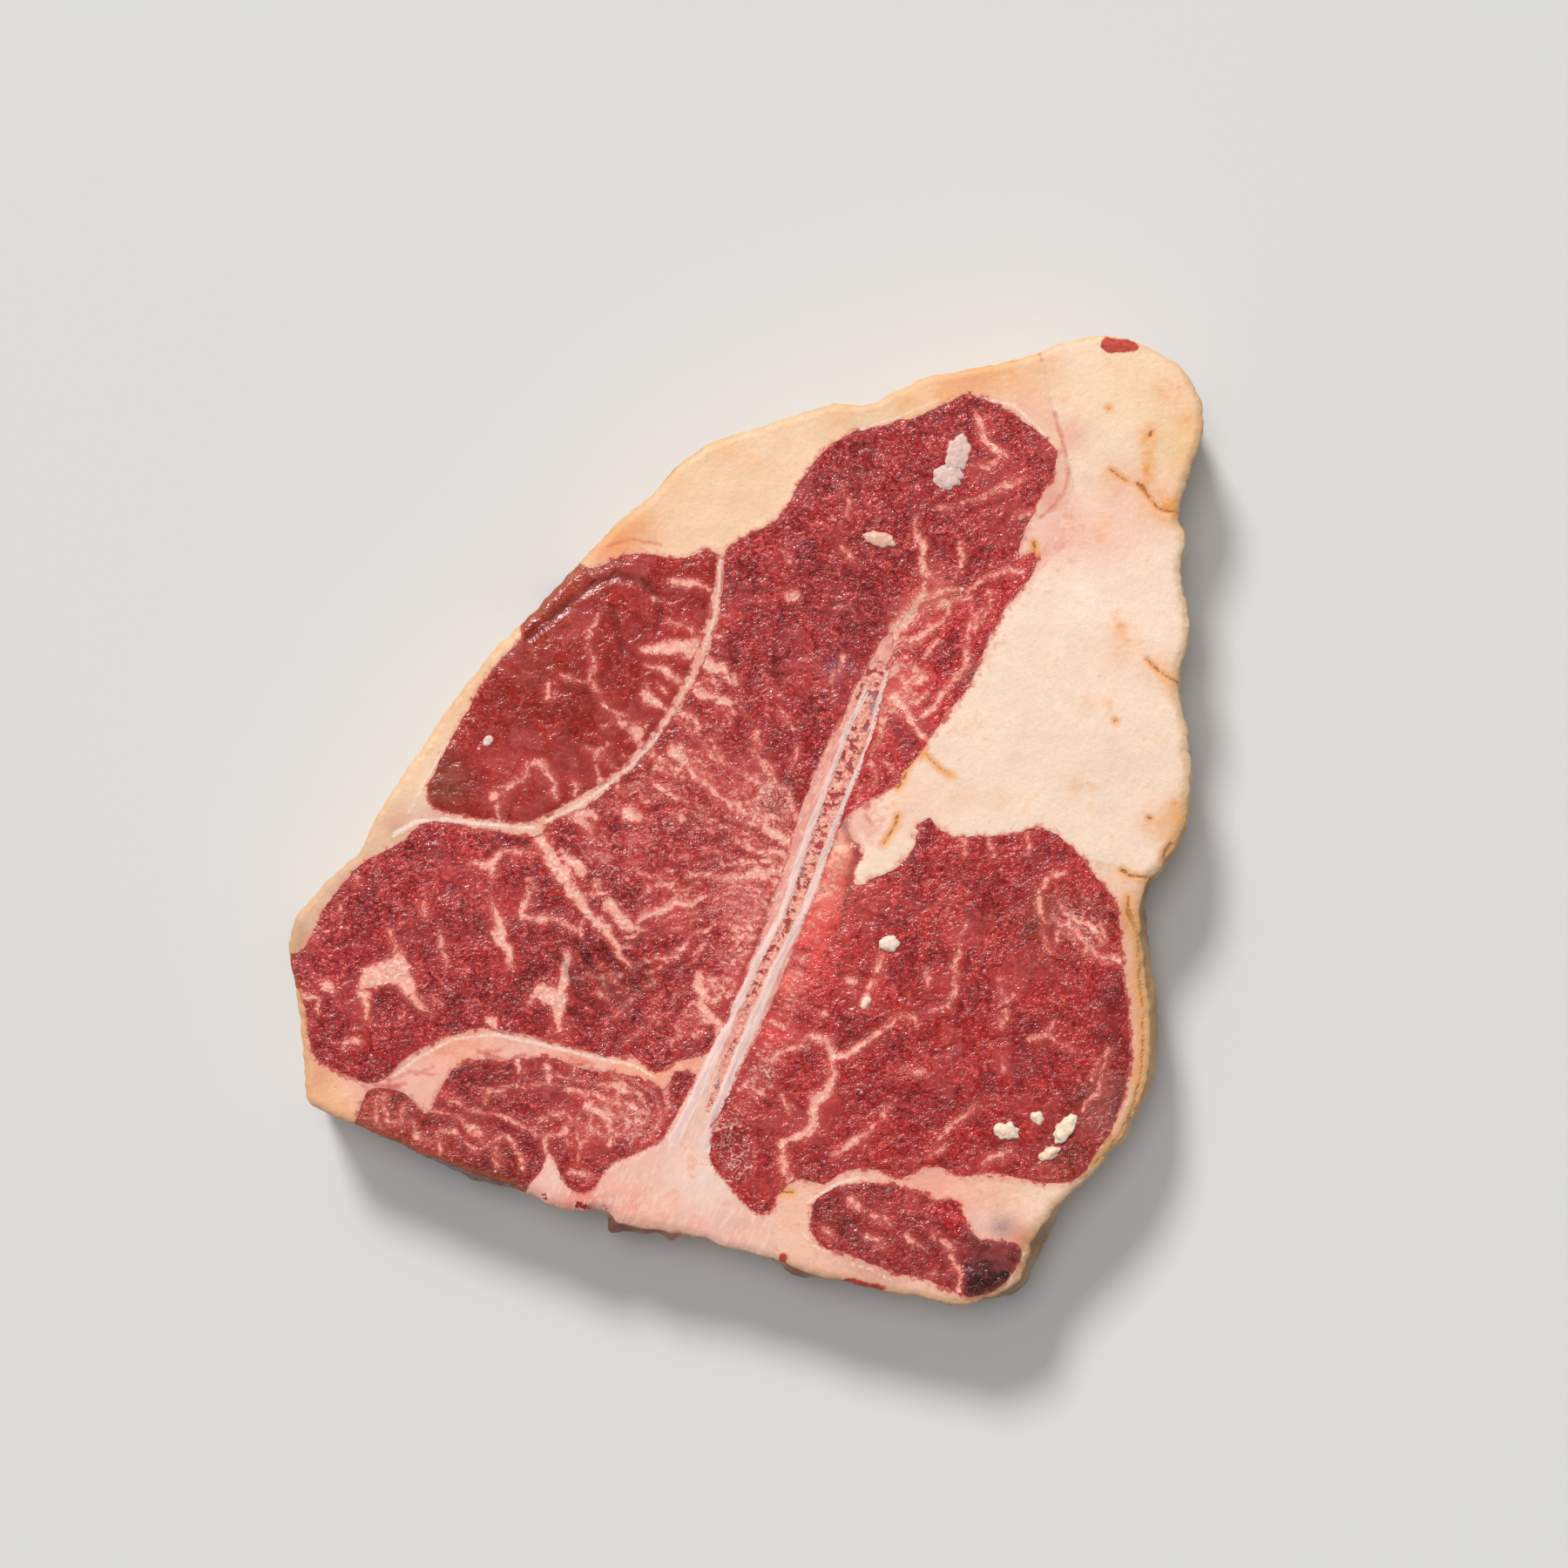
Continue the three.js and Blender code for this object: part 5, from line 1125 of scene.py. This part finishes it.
loinLook = {
    **leanRelief, "fibre": 40, "coarse": 1.0, "raise": 0.0, "colour": "#A62121", "mixing": 0.5,
    "mixingPatches": [(-18, 15, 16, 0.8), (-35, -12, 16, 0.7), (0, -25, 12, 0.8), (2, 5, 10, 0.7),
                      (-8, 38, 8, 0.6), (-100, -50, 16, -0.2), (10, 60, 16, -0.2), (60, 90, 16, 0.1)],
    "smoothPatches": [(40, 52, 5, -0.6)], "lacePatches": [(6, 4, 7, 0.7), (-2, -20, 6, 0.4)],
    "patches": [
        # (23, 45), (24.5, 41) and (23, 37) are painted reflection, the pink and bluish-white sheen of a wet
        # film, and (-40, -36) is painted shade over the creases
        (35, 88, 22, "#A82122", 0.8), (60, 98, 14, "#AF282B", 0.7), (23, 45, 9, "#AB3539", 0.6),
        (27, 70, 8, "#98211A", 0.5), (-10, -5, 14, "#AD2B2B", 0.7), (-40, -36, 13, "#8D1618", 0.7),
        (-75, -20, 14, "#AF2B2E", 0.6), (-105, -36, 12, "#A8242D", 0.7), (-85, -52, 12, "#A12128", 0.6),
        (-23, -47, 3, "#AB070C", 0.8), (12, 20, 8, "#AA1A1F", 0.5), (41.5, 53, 3.6, "#E8766A", 0.8),
        (24.5, 41, 2.6, "#94606E", 0.7), (23, 37, 2.0, "#94707E", 0.6), (50, 60, 4, "#DE6A60", 0.7),
        (0, -22, 6, "#BC4D48", 0.6), (-6, 8, 12, "#B13735", 0.5), (9, 7, 5, "#86141A", 0.7),
        (12, 24, 7, "#9A181C", 0.6), (76, 97, 6, "#BA403A", 0.5), (79, 88, 4, "#BC403A", 0.5),
    ],
}
buildPart("loinMuscle", "loin", loinLook, lean)

filletLook = {
    **leanRelief, "fibre": -38, "coarse": 0.85, "raise": 0.1, "colour": "#A91F1E", "mixing": 0.12,
    "mixingPatches": [(24, -14, 10, 0.3), (10, -52, 10, 0.7), (0, -75, 10, 0.6), (88, -28, 10, 0.5),
                      (92, -80, 10, 0.5), (86, -30, 5, 0.8), (94, -37, 3, 0.9)],
    "smoothPatches": [(23, -10, 9, -0.8), (18, -28, 7, -0.5), (95.4, -52, 5, -0.6)],
    "lacePatches": [(-5, -80, 5, 0.7), (-2, -90, 5, 0.7), (4, -66, 6, 0.4), (88, -26, 8, 0.55),
                    (95, -80, 6, 0.4)],
    "patches": [
        (60, -15, 14, "#A7241F", 0.6), (85, -30, 11, "#AD3129", 0.5), (88, -86, 13, "#9F291F", 0.6),
        (14, -40, 8, "#E5423E", 0.9), (7, -56, 6, "#D93B38", 0.8), (14, -92, 6, "#951915", 0.7),
        (95, -50, 8, "#9F1C19", 0.5), (4, -72, 9, "#B12929", 0.5), (17, -28, 8, "#F15048", 0.9),
        (11, -42, 4, "#F07A6C", 0.8), (23, -10, 8, "#FF7A66", 1.0), (25, -3, 4, "#FA8C78", 0.9),
        (20, -20, 6, "#FA7A66", 0.9), (23.5, -11.5, 2.4, "#FBC4A8", 1.0), (20.3, -18.8, 2.0, "#F9B89E", 1.0),
        (24.2, -7.6, 2.6, "#FFD0B4", 1.0), (25.4, -3.2, 2.2, "#FCBEA4", 0.9), (28.6, -9, 1.6, "#A81414", 0.8),
        (79, -25, 6, "#7A3826", 0.8), (93, -76, 7, "#70382A", 0.85), (95, -70, 5, "#6E3A2C", 0.7),
        (82, -90, 6, "#783626", 0.6), (95.5, -48, 4, "#6A1214", 0.8), (95, -57, 4, "#6A1214", 0.8),
        (88, -12, 7, "#BE2420", 0.6), (95, -25, 3.5, "#A01008", 0.8), (97, -22, 1.8, "#D8552C", 0.8),
    ],
}
buildPart("filletMuscle", "fillet", filletLook, lean)

outerEyeLook = {
    **leanRelief, "fibre": 60, "coarse": 0.4, "raise": 0.2, "colour": "#9F2017", "mixing": 0.05,
    "mixingPatches": [(-55, 8, 12, 0.5), (-18, 48, 10, 0.4), (-30, 28, 8, 0.3)],
    "patches": [
        (-55, 46, 12, "#9F2713", 0.85), (-63, 34, 9, "#922112", 0.85), (-79, 9, 6, "#763A20", 0.85),
        (-52, 56, 5, "#9A3A22", 0.8), (-44, 63.6, 5, "#A2402A", 0.8), (-36, 66.5, 5, "#A84430", 0.6),
        (-45, 30, 13, "#931C0D", 0.85), (-62, 12, 8, "#B1302C", 0.5), (-18, 52, 8, "#B13031", 0.5),
    ],
}
buildPart("outerEyeMuscle", "outer_eye", outerEyeLook, lean)

sideStrapLook = {
    **leanRelief, "fibre": -55, "coarse": 1.0, "raise": -0.3, "colour": "#BE1E22", "mixing": 0.45,
    "mixingPatches": [(40, 42, 8, 0.6)], "smoothPatches": [(38, 33, 5, -0.5)],
    "lacePatches": [(40, 42, 5, 0.5)],
    "patches": [
        (37.5, 33, 5, "#F08070", 0.9), (39, 42, 5, "#E8584E", 0.8), (41, 37, 5, "#E04840", 0.7),
        (47, 44, 6, "#C01C28", 0.7), (38.6, 25, 2.6, "#6E0A10", 0.9), (41.8, 20.4, 3.4, "#740A12", 0.9),
        (32, 10, 5, "#D8403E", 0.7), (34, 19, 4, "#DC4A44", 0.7), (36, 12, 5, "#A51014", 0.8),
        (52, 46, 7, "#A8161C", 0.7), (50, 53, 4, "#D03030", 0.6), (62, 55, 6, "#C23A38", 0.6),
        (47, 59, 5, "#EE9A88", 0.8), (58.4, 37, 3.2, "#7A3A30", 0.9), (73, 66, 4, "#C84A40", 0.6),
    ],
}
buildPart("sideStrapMuscle", "side_strap", sideStrapLook, lean)

chineLook = {
    **leanRelief, "fibre": 5, "coarse": 0.9, "raise": -0.2, "colour": "#A01E1D", "mixing": 0.55,
    "mixingPatches": [(-36, -76, 10, 0.6), (-52, -82, 8, 0.4)], "lacePatches": [(-30, -78, 9, 0.6)],
    "patches": [
        (-92, -79, 12, "#8E3222", 0.9), (-64, -90, 9, "#7C130D", 0.8), (-50, -80.5, 6, "#9D1516", 0.7),
        (-62, -72, 9, "#8E181A", 0.6), (-36, -77, 8, "#CA4E45", 0.7), (-100, -76, 5, "#B2482B", 0.8),
        (-24, -76, 6, "#BD3B38", 0.5),
    ],
}
buildPart("chineMuscle", "chine_muscle", chineLook, lean)

chainLook = {
    **leanRelief, "coarse": 0.8, "raise": 0.0, "colour": "#99201F", "mixing": 0.4,
    "mixingPatches": [(42, -106, 10, 0.4), (64, -118, 9, -1.2)], "smoothPatches": [(64, -117, 8, -0.5)],
    "patches": [
        (66, -117.5, 8, "#1C0303", 1.0), (60, -121, 6, "#2B0507", 0.9), (65.4, -107.6, 2.6, "#8E7078", 0.9),
        (59.5, -107, 2.2, "#A08088", 0.7), (53.5, -104, 5, "#B8101C", 0.8), (24, -104, 8, "#8C2A24", 0.5),
        (38, -104, 7, "#B03A34", 0.5),
    ],
}
buildPart("chainMuscle", "chain", chainLook, lean)

seamRoute = [(-55, -1.5), (-48, 3), (-41, 7.5), (-36, 11.6), (-30, 16), (-25, 21), (-21, 28), (-17, 34),
             (-13, 41), (-9.5, 47), (-8, 54), (-7, 61), (-7, 67)]
fatCoverLook = {
    **fatRelief, "raise": -0.1, "colour": "#F8D2B0",
    "mixingPatches": [*[(x, y, 4, 0.5) for x, y in seamRoute], (-66, -1.4, 7, 0.6), (-80, -0.4, 6, 0.4)],
    "patches": [
        (-35, 72, 10, "#F09C72", 0.9), (57, 115, 11, "#F4AC7C", 0.85), (30, 105, 9, "#F2C096", 0.6),
        (74, 112, 7, "#F6C6A4", 0.8), (82.5, 92, 5, "#EDBBA6", 0.8), (79, 84, 5, "#E8A594", 0.9),
        (80, 104, 5, "#F0B8A2", 0.8), (72, 106, 5, "#F2BCA6", 0.8), (40, 106, 6, "#E9C79E", 0.8),
        (30, 103, 5, "#E2CCB0", 0.7), (-105, -13, 15, "#CFA892", 0.9), (-92, 4, 8, "#EDCDB0", 0.7),
        (-118, -32, 8, "#B98A72", 0.8), (-70, 34, 12, "#E8B48C", 0.6), (-8, 95, 8, "#F8D0A8", 0.6),
        *[(x, y, 4.5, "#EFB09C", 0.8) for x, y in seamRoute], (-66, -1.4, 7, "#E8B2A6", 0.8),
        (-80, -0.4, 6, "#DDB4A8", 0.8), (-91, -2, 5, "#DCA88E", 0.9),
    ],
}
buildPart("fatCover", "fat_cover", fatCoverLook, fat)

suetLook = {
    **fatRelief, "raise": 0.1, "colour": "#FADCC6",
    "mixingPatches": [(76, 74, 8, 1.1), (72, 60, 6, 0.5), (64, 46, 7, 0.5), (52, 28, 6, 0.4), (30, 0, 8, 0.9),
                      (80, 84, 6, 0.8)],
    "patches": [
        (98, 112, 15, "#FBDAB4", 0.9), (114, 98, 9, "#F8D09A", 0.8), (99, 83, 9, "#F8C4A6", 0.6),
        (79, 114, 7, "#F7CCA8", 0.8), (92, 76, 11, "#F9CBB8", 0.85), (82, 70, 8, "#F8C6B2", 0.7),
        (88, 58, 8, "#FEE6D4", 0.7), (84, 100, 5, "#F0AE96", 0.7), (82, 76, 6, "#F6BCA4", 0.7),
        (42, 4, 9, "#F8C8B2", 0.6), (31, -2, 5, "#F6B6A4", 0.8), (115, 0, 7, "#DEAE78", 0.8),
        (80.5, 86, 4, "#E88A78", 0.6),
    ],
}
buildPart("suetFat", "suet", suetLook, fat)

filletFatLook = {
    **fatRelief, "raise": -0.2, "mixing": 0.25, "colour": "#F4BFA6",
    "patches": [
        (66.6, -106.4, 3.4, "#A08486", 0.9), (60.5, -104.5, 3.0, "#E0C2BE", 0.7),
        (72, -109, 3, "#D8604C", 0.8), (80, -100, 9, "#F8DCC6", 0.9), (48, -96, 6, "#F39E8A", 0.7),
        (94, -14, 7, "#F7D6BC", 0.95), (101, -27, 6, "#CC9664", 0.9), (103, -45, 9, "#D4A27C", 0.85),
        (102, -66, 9, "#D8A888", 0.8), (50, -97, 12, "#F5B09E", 0.7), (85, -98, 8, "#EEC8B2", 0.8),
        (32, -120, 9, "#D09080", 0.6), (9, -112, 8, "#F4C4AC", 0.95), (72, -114, 4, "#96584A", 0.7),
        (90, -98, 8, "#F2D4BC", 0.7),
    ],
}
buildPart("filletFat", "fillet_fat", filletFatLook, fat)

chineFatLook = {
    **fatRelief, "raise": -0.1, "mixing": 0.3, "colour": "#F5AE90",
    "mixingPatches": [(-85, -67.5, 8, 0.9), (-62, -60.4, 8, 0.5), (-40, -63.4, 7, 0.5), (-100, -70, 6, 0.4)],
    "patches": [
        (-109, -73, 7, "#F2BC90", 0.9), (-85, -66, 8, "#F6A48C", 0.8), (-55, -59.5, 8, "#F2B6AA", 0.8),
        (-114, -66, 5, "#D8A078", 0.7),
    ],
}
buildPart("chineFat", "chine_fat", chineFatLook, fat)

boneLook = {
    **plain, "slot": "bone", "grain": [(5.0, 0.15), (1.4, 0.08)], "seamDip": 0.05, "marrowDepth": 0.3,
    "rimRise": 0.1, "fibre": -64, "raise": 0.15, "colour": "#E69C8E",
    "patches": [
        (-12, -94, 15, "#F5D6C6", 0.95), (-30, -98, 10, "#F8CDB8", 0.8), (4, -112, 9, "#F4C4AC", 0.95),
        (-50, -94, 6, "#F6CDBB", 0.8), (37, 47, 5, "#E28A80", 0.8), (-9, -76, 9, "#F3CDB8", 0.8),
        (-22, -106, 8, "#F2B79E", 0.7), (-43, -100, 5, "#EE8878", 0.8), (-31, -100, 6, "#F4A08C", 0.7),
        (28, 14, 6, "#DE7068", 0.7), (31, 24, 5, "#DE7068", 0.7),
    ],
}
buildPart("sawnBone", "bone", boneLook, bone)

# Crumbs of fat left by the saw. Sizes run from the middle out, in millimetres, and "turn" is in degrees.
crumbs = [
    {"at": (37.2, -32.4), "long": 2.5, "wide": 2.2, "high": 1.1, "turn": 0, "colour": "#F4DCCB"},
    {"at": (67.8, -81.4), "long": 3.4, "wide": 2.3, "high": 1.3, "turn": 0, "colour": "#F6DCC6"},
    {"at": (76, -78), "long": 2.0, "wide": 1.6, "high": 1.0, "turn": -50, "colour": "#F6DCC6"},
    {"at": (83, -81), "long": 4.4, "wide": 2.2, "high": 1.4, "turn": 52, "colour": "#FBE2C8"},
    {"at": (79, -87.4), "long": 3.0, "wide": 1.5, "high": 1.1, "turn": 25, "colour": "#F8D8BA"},
    {"at": (31, -48), "long": 2.0, "wide": 1.1, "high": 0.7, "turn": 60, "colour": "#FAD8C6"},
    {"at": (55, 95.2), "long": 5.0, "wide": 2.9, "high": 0.7, "turn": 76, "colour": "#E9C6BC"},
    {"at": (52.6, 89.2), "long": 3.8, "wide": 3.3, "high": 0.7, "turn": 0, "colour": "#E9C6BC"},
    {"at": (34.6, 73), "long": 4.2, "wide": 1.9, "high": 1.1, "turn": -12, "colour": "#F0C0AA"},
    {"at": (-67.4, 20.4), "long": 1.7, "wide": 1.3, "high": 0.8, "turn": 60, "colour": "#FAD6C6"},
]


def faceHeightAt(x, y):
    return steak["thickness"] - steak["faceDip"] + hills(np.array([[x, y]], float), faceSwells)[0]


def crumbFat():
    # Torn fat, softer and wetter than the sawn faces.
    material, tree, shader = newMaterial("tornFatCrumb", {
        "Roughness": 0.38, "IOR": 1.45, "Subsurface Weight": 0.4, "Subsurface Scale": 0.0015,
        "Subsurface Radius": (1.0, 0.7, 0.5),
    })
    place = add(tree, "TexCoord", output="Object")
    spot = add(tree, "Mapping", {"Vector": place, "Scale": (1000, 1000, 1000)})
    tint = add(tree, "Attribute", output="Color", attribute_name="tint")
    lumpSize = 0.9      # millimetres
    lump = add(tree, "TexNoise", {"Vector": spot, "Scale": 1 / lumpSize, "Detail": 3.0})
    tone = add(tree, "MapRange", (lump, 0.3, 0.7, 0.86, 1.06))
    colour = add(tree, "VectorMath", {0: tint, "Scale": tone}, operation="SCALE")
    tree.links.new(colour, shader.inputs["Base Color"])
    bump = add(tree, "Bump", {"Height": lump, "Strength": 0.4, "Distance": 0.0004})
    tree.links.new(bump, shader.inputs["Normal"])
    return material


def buildCrumbs():
    verts, faces, tints = [], [], []
    for crumb in crumbs:
        bpy.ops.mesh.primitive_ico_sphere_add(subdivisions=5, radius=1)
        ball = bpy.context.object
        turn = math.radians(crumb["turn"])
        start = len(verts)
        x0, y0 = crumb["at"]
        z0 = faceHeightAt(x0, y0)
        reach = Vector((crumb["long"], crumb["wide"], crumb["high"]))
        for v in ball.data.vertices:
            # broad lumps that differ from crumb to crumb, and fine ones
            here = v.co * reach
            swell = 1 + 0.3 * noise.noise(here / 1.5 + Vector((x0, y0, 3))) + 0.05 * noise.noise(here / 0.5)
            here *= swell
            x = x0 + here.x * math.cos(turn) - here.y * math.sin(turn) - steak["middle"][0]
            y = y0 + here.x * math.sin(turn) + here.y * math.cos(turn) - steak["middle"][1]
            verts.append((x * mm, y * mm, (z0 + here.z) * mm))
            tints.append((*linearColour(crumb["colour"]), 1))
        faces += [[start + i for i in p.vertices] for p in ball.data.polygons]
        bpy.data.objects.remove(ball)
    mesh = bpy.data.meshes.new("fatCrumbs")
    mesh.from_pydata(verts, [], faces)
    mesh.shade_smooth()
    tint = mesh.attributes.new("tint", "FLOAT_COLOR", "POINT")
    tint.data.foreach_set("color", np.array(tints, "f").ravel())
    mesh.materials.append(crumbFat())
    piece = putInScene("fatCrumbs", mesh)
    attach(piece, "root")
    print("crumbs of fat:", len(crumbs))


buildCrumbs()

# The table, the light and the camera.
view = {
    "lookAt": (9.77, 9.09),        # plan point under the middle of the picture
    "pictureWidth": 409.1,         # millimetres across the picture at the upper face
    "distance": 1200.0,
    "windowRun": (13.5, -33.0),    # where the upper rim's shadow falls on the table
    "windowSoftness": 13.0,        # degrees
    "ceilingRun": (4.0, -6.5),     # the same for the softer light from above
    "ceilingSoftness": 22.0,
    "window": 2.36, "ceiling": 0.8, "sky": 0.265,      # strengths
    "windowColour": (1.0, 0.985, 0.96), "ceilingColour": (1.0, 1.0, 1.0), "skyColour": (1.0, 0.995, 1.0),
}


def paleTable():
    # Honed pale stone, almost without gloss.
    look = {"Base Color": (*linearColour("#DADADA"), 1), "Roughness": 0.7}
    material = newMaterial("honedPaleStone", look)[0]
    mesh = bpy.data.meshes.new("table")
    half = 3.0      # metres, so that the table fills every view
    corners = [(-half, -half, 0), (half, -half, 0), (half, half, 0), (-half, half, 0)]
    mesh.from_pydata(corners, [], [(0, 1, 2, 3)])
    mesh.materials.append(material)
    table = putInScene("table", mesh)


def lightScene():
    for name in ("window", "ceiling"):
        lamp = putInScene(name + "Light", bpy.data.lights.new(name + "Light", "SUN"))
        lamp.data.energy = view[name]
        lamp.data.angle = math.radians(view[name + "Softness"])
        lamp.data.color = view[name + "Colour"]
        lamp.visible_glossy = name == "window"
        shine = Vector((*view[name + "Run"], -steak["thickness"]))
        lamp.rotation_euler = shine.to_track_quat("-Z", "Y").to_euler()
    world = bpy.context.scene.world or bpy.data.worlds.new("room")
    bpy.context.scene.world = world
    world.use_nodes = True
    sky = world.node_tree.nodes["Background"]
    sky.inputs["Color"].default_value = (*view["skyColour"], 1)
    sky.inputs["Strength"].default_value = view["sky"]


def placeCamera():
    camera = putInScene("camera", bpy.data.cameras.new("camera"))
    camera.data.lens = camera.data.sensor_width * view["distance"] / view["pictureWidth"]
    x, y = (a - b for a, b in zip(view["lookAt"], steak["middle"]))
    camera.location = [x * mm, y * mm, (steak["thickness"] + view["distance"]) * mm]
    bpy.context.scene.camera = camera


paleTable()
lightScene()
placeCamera()
bpy.context.scene.view_settings.view_transform = "Standard"
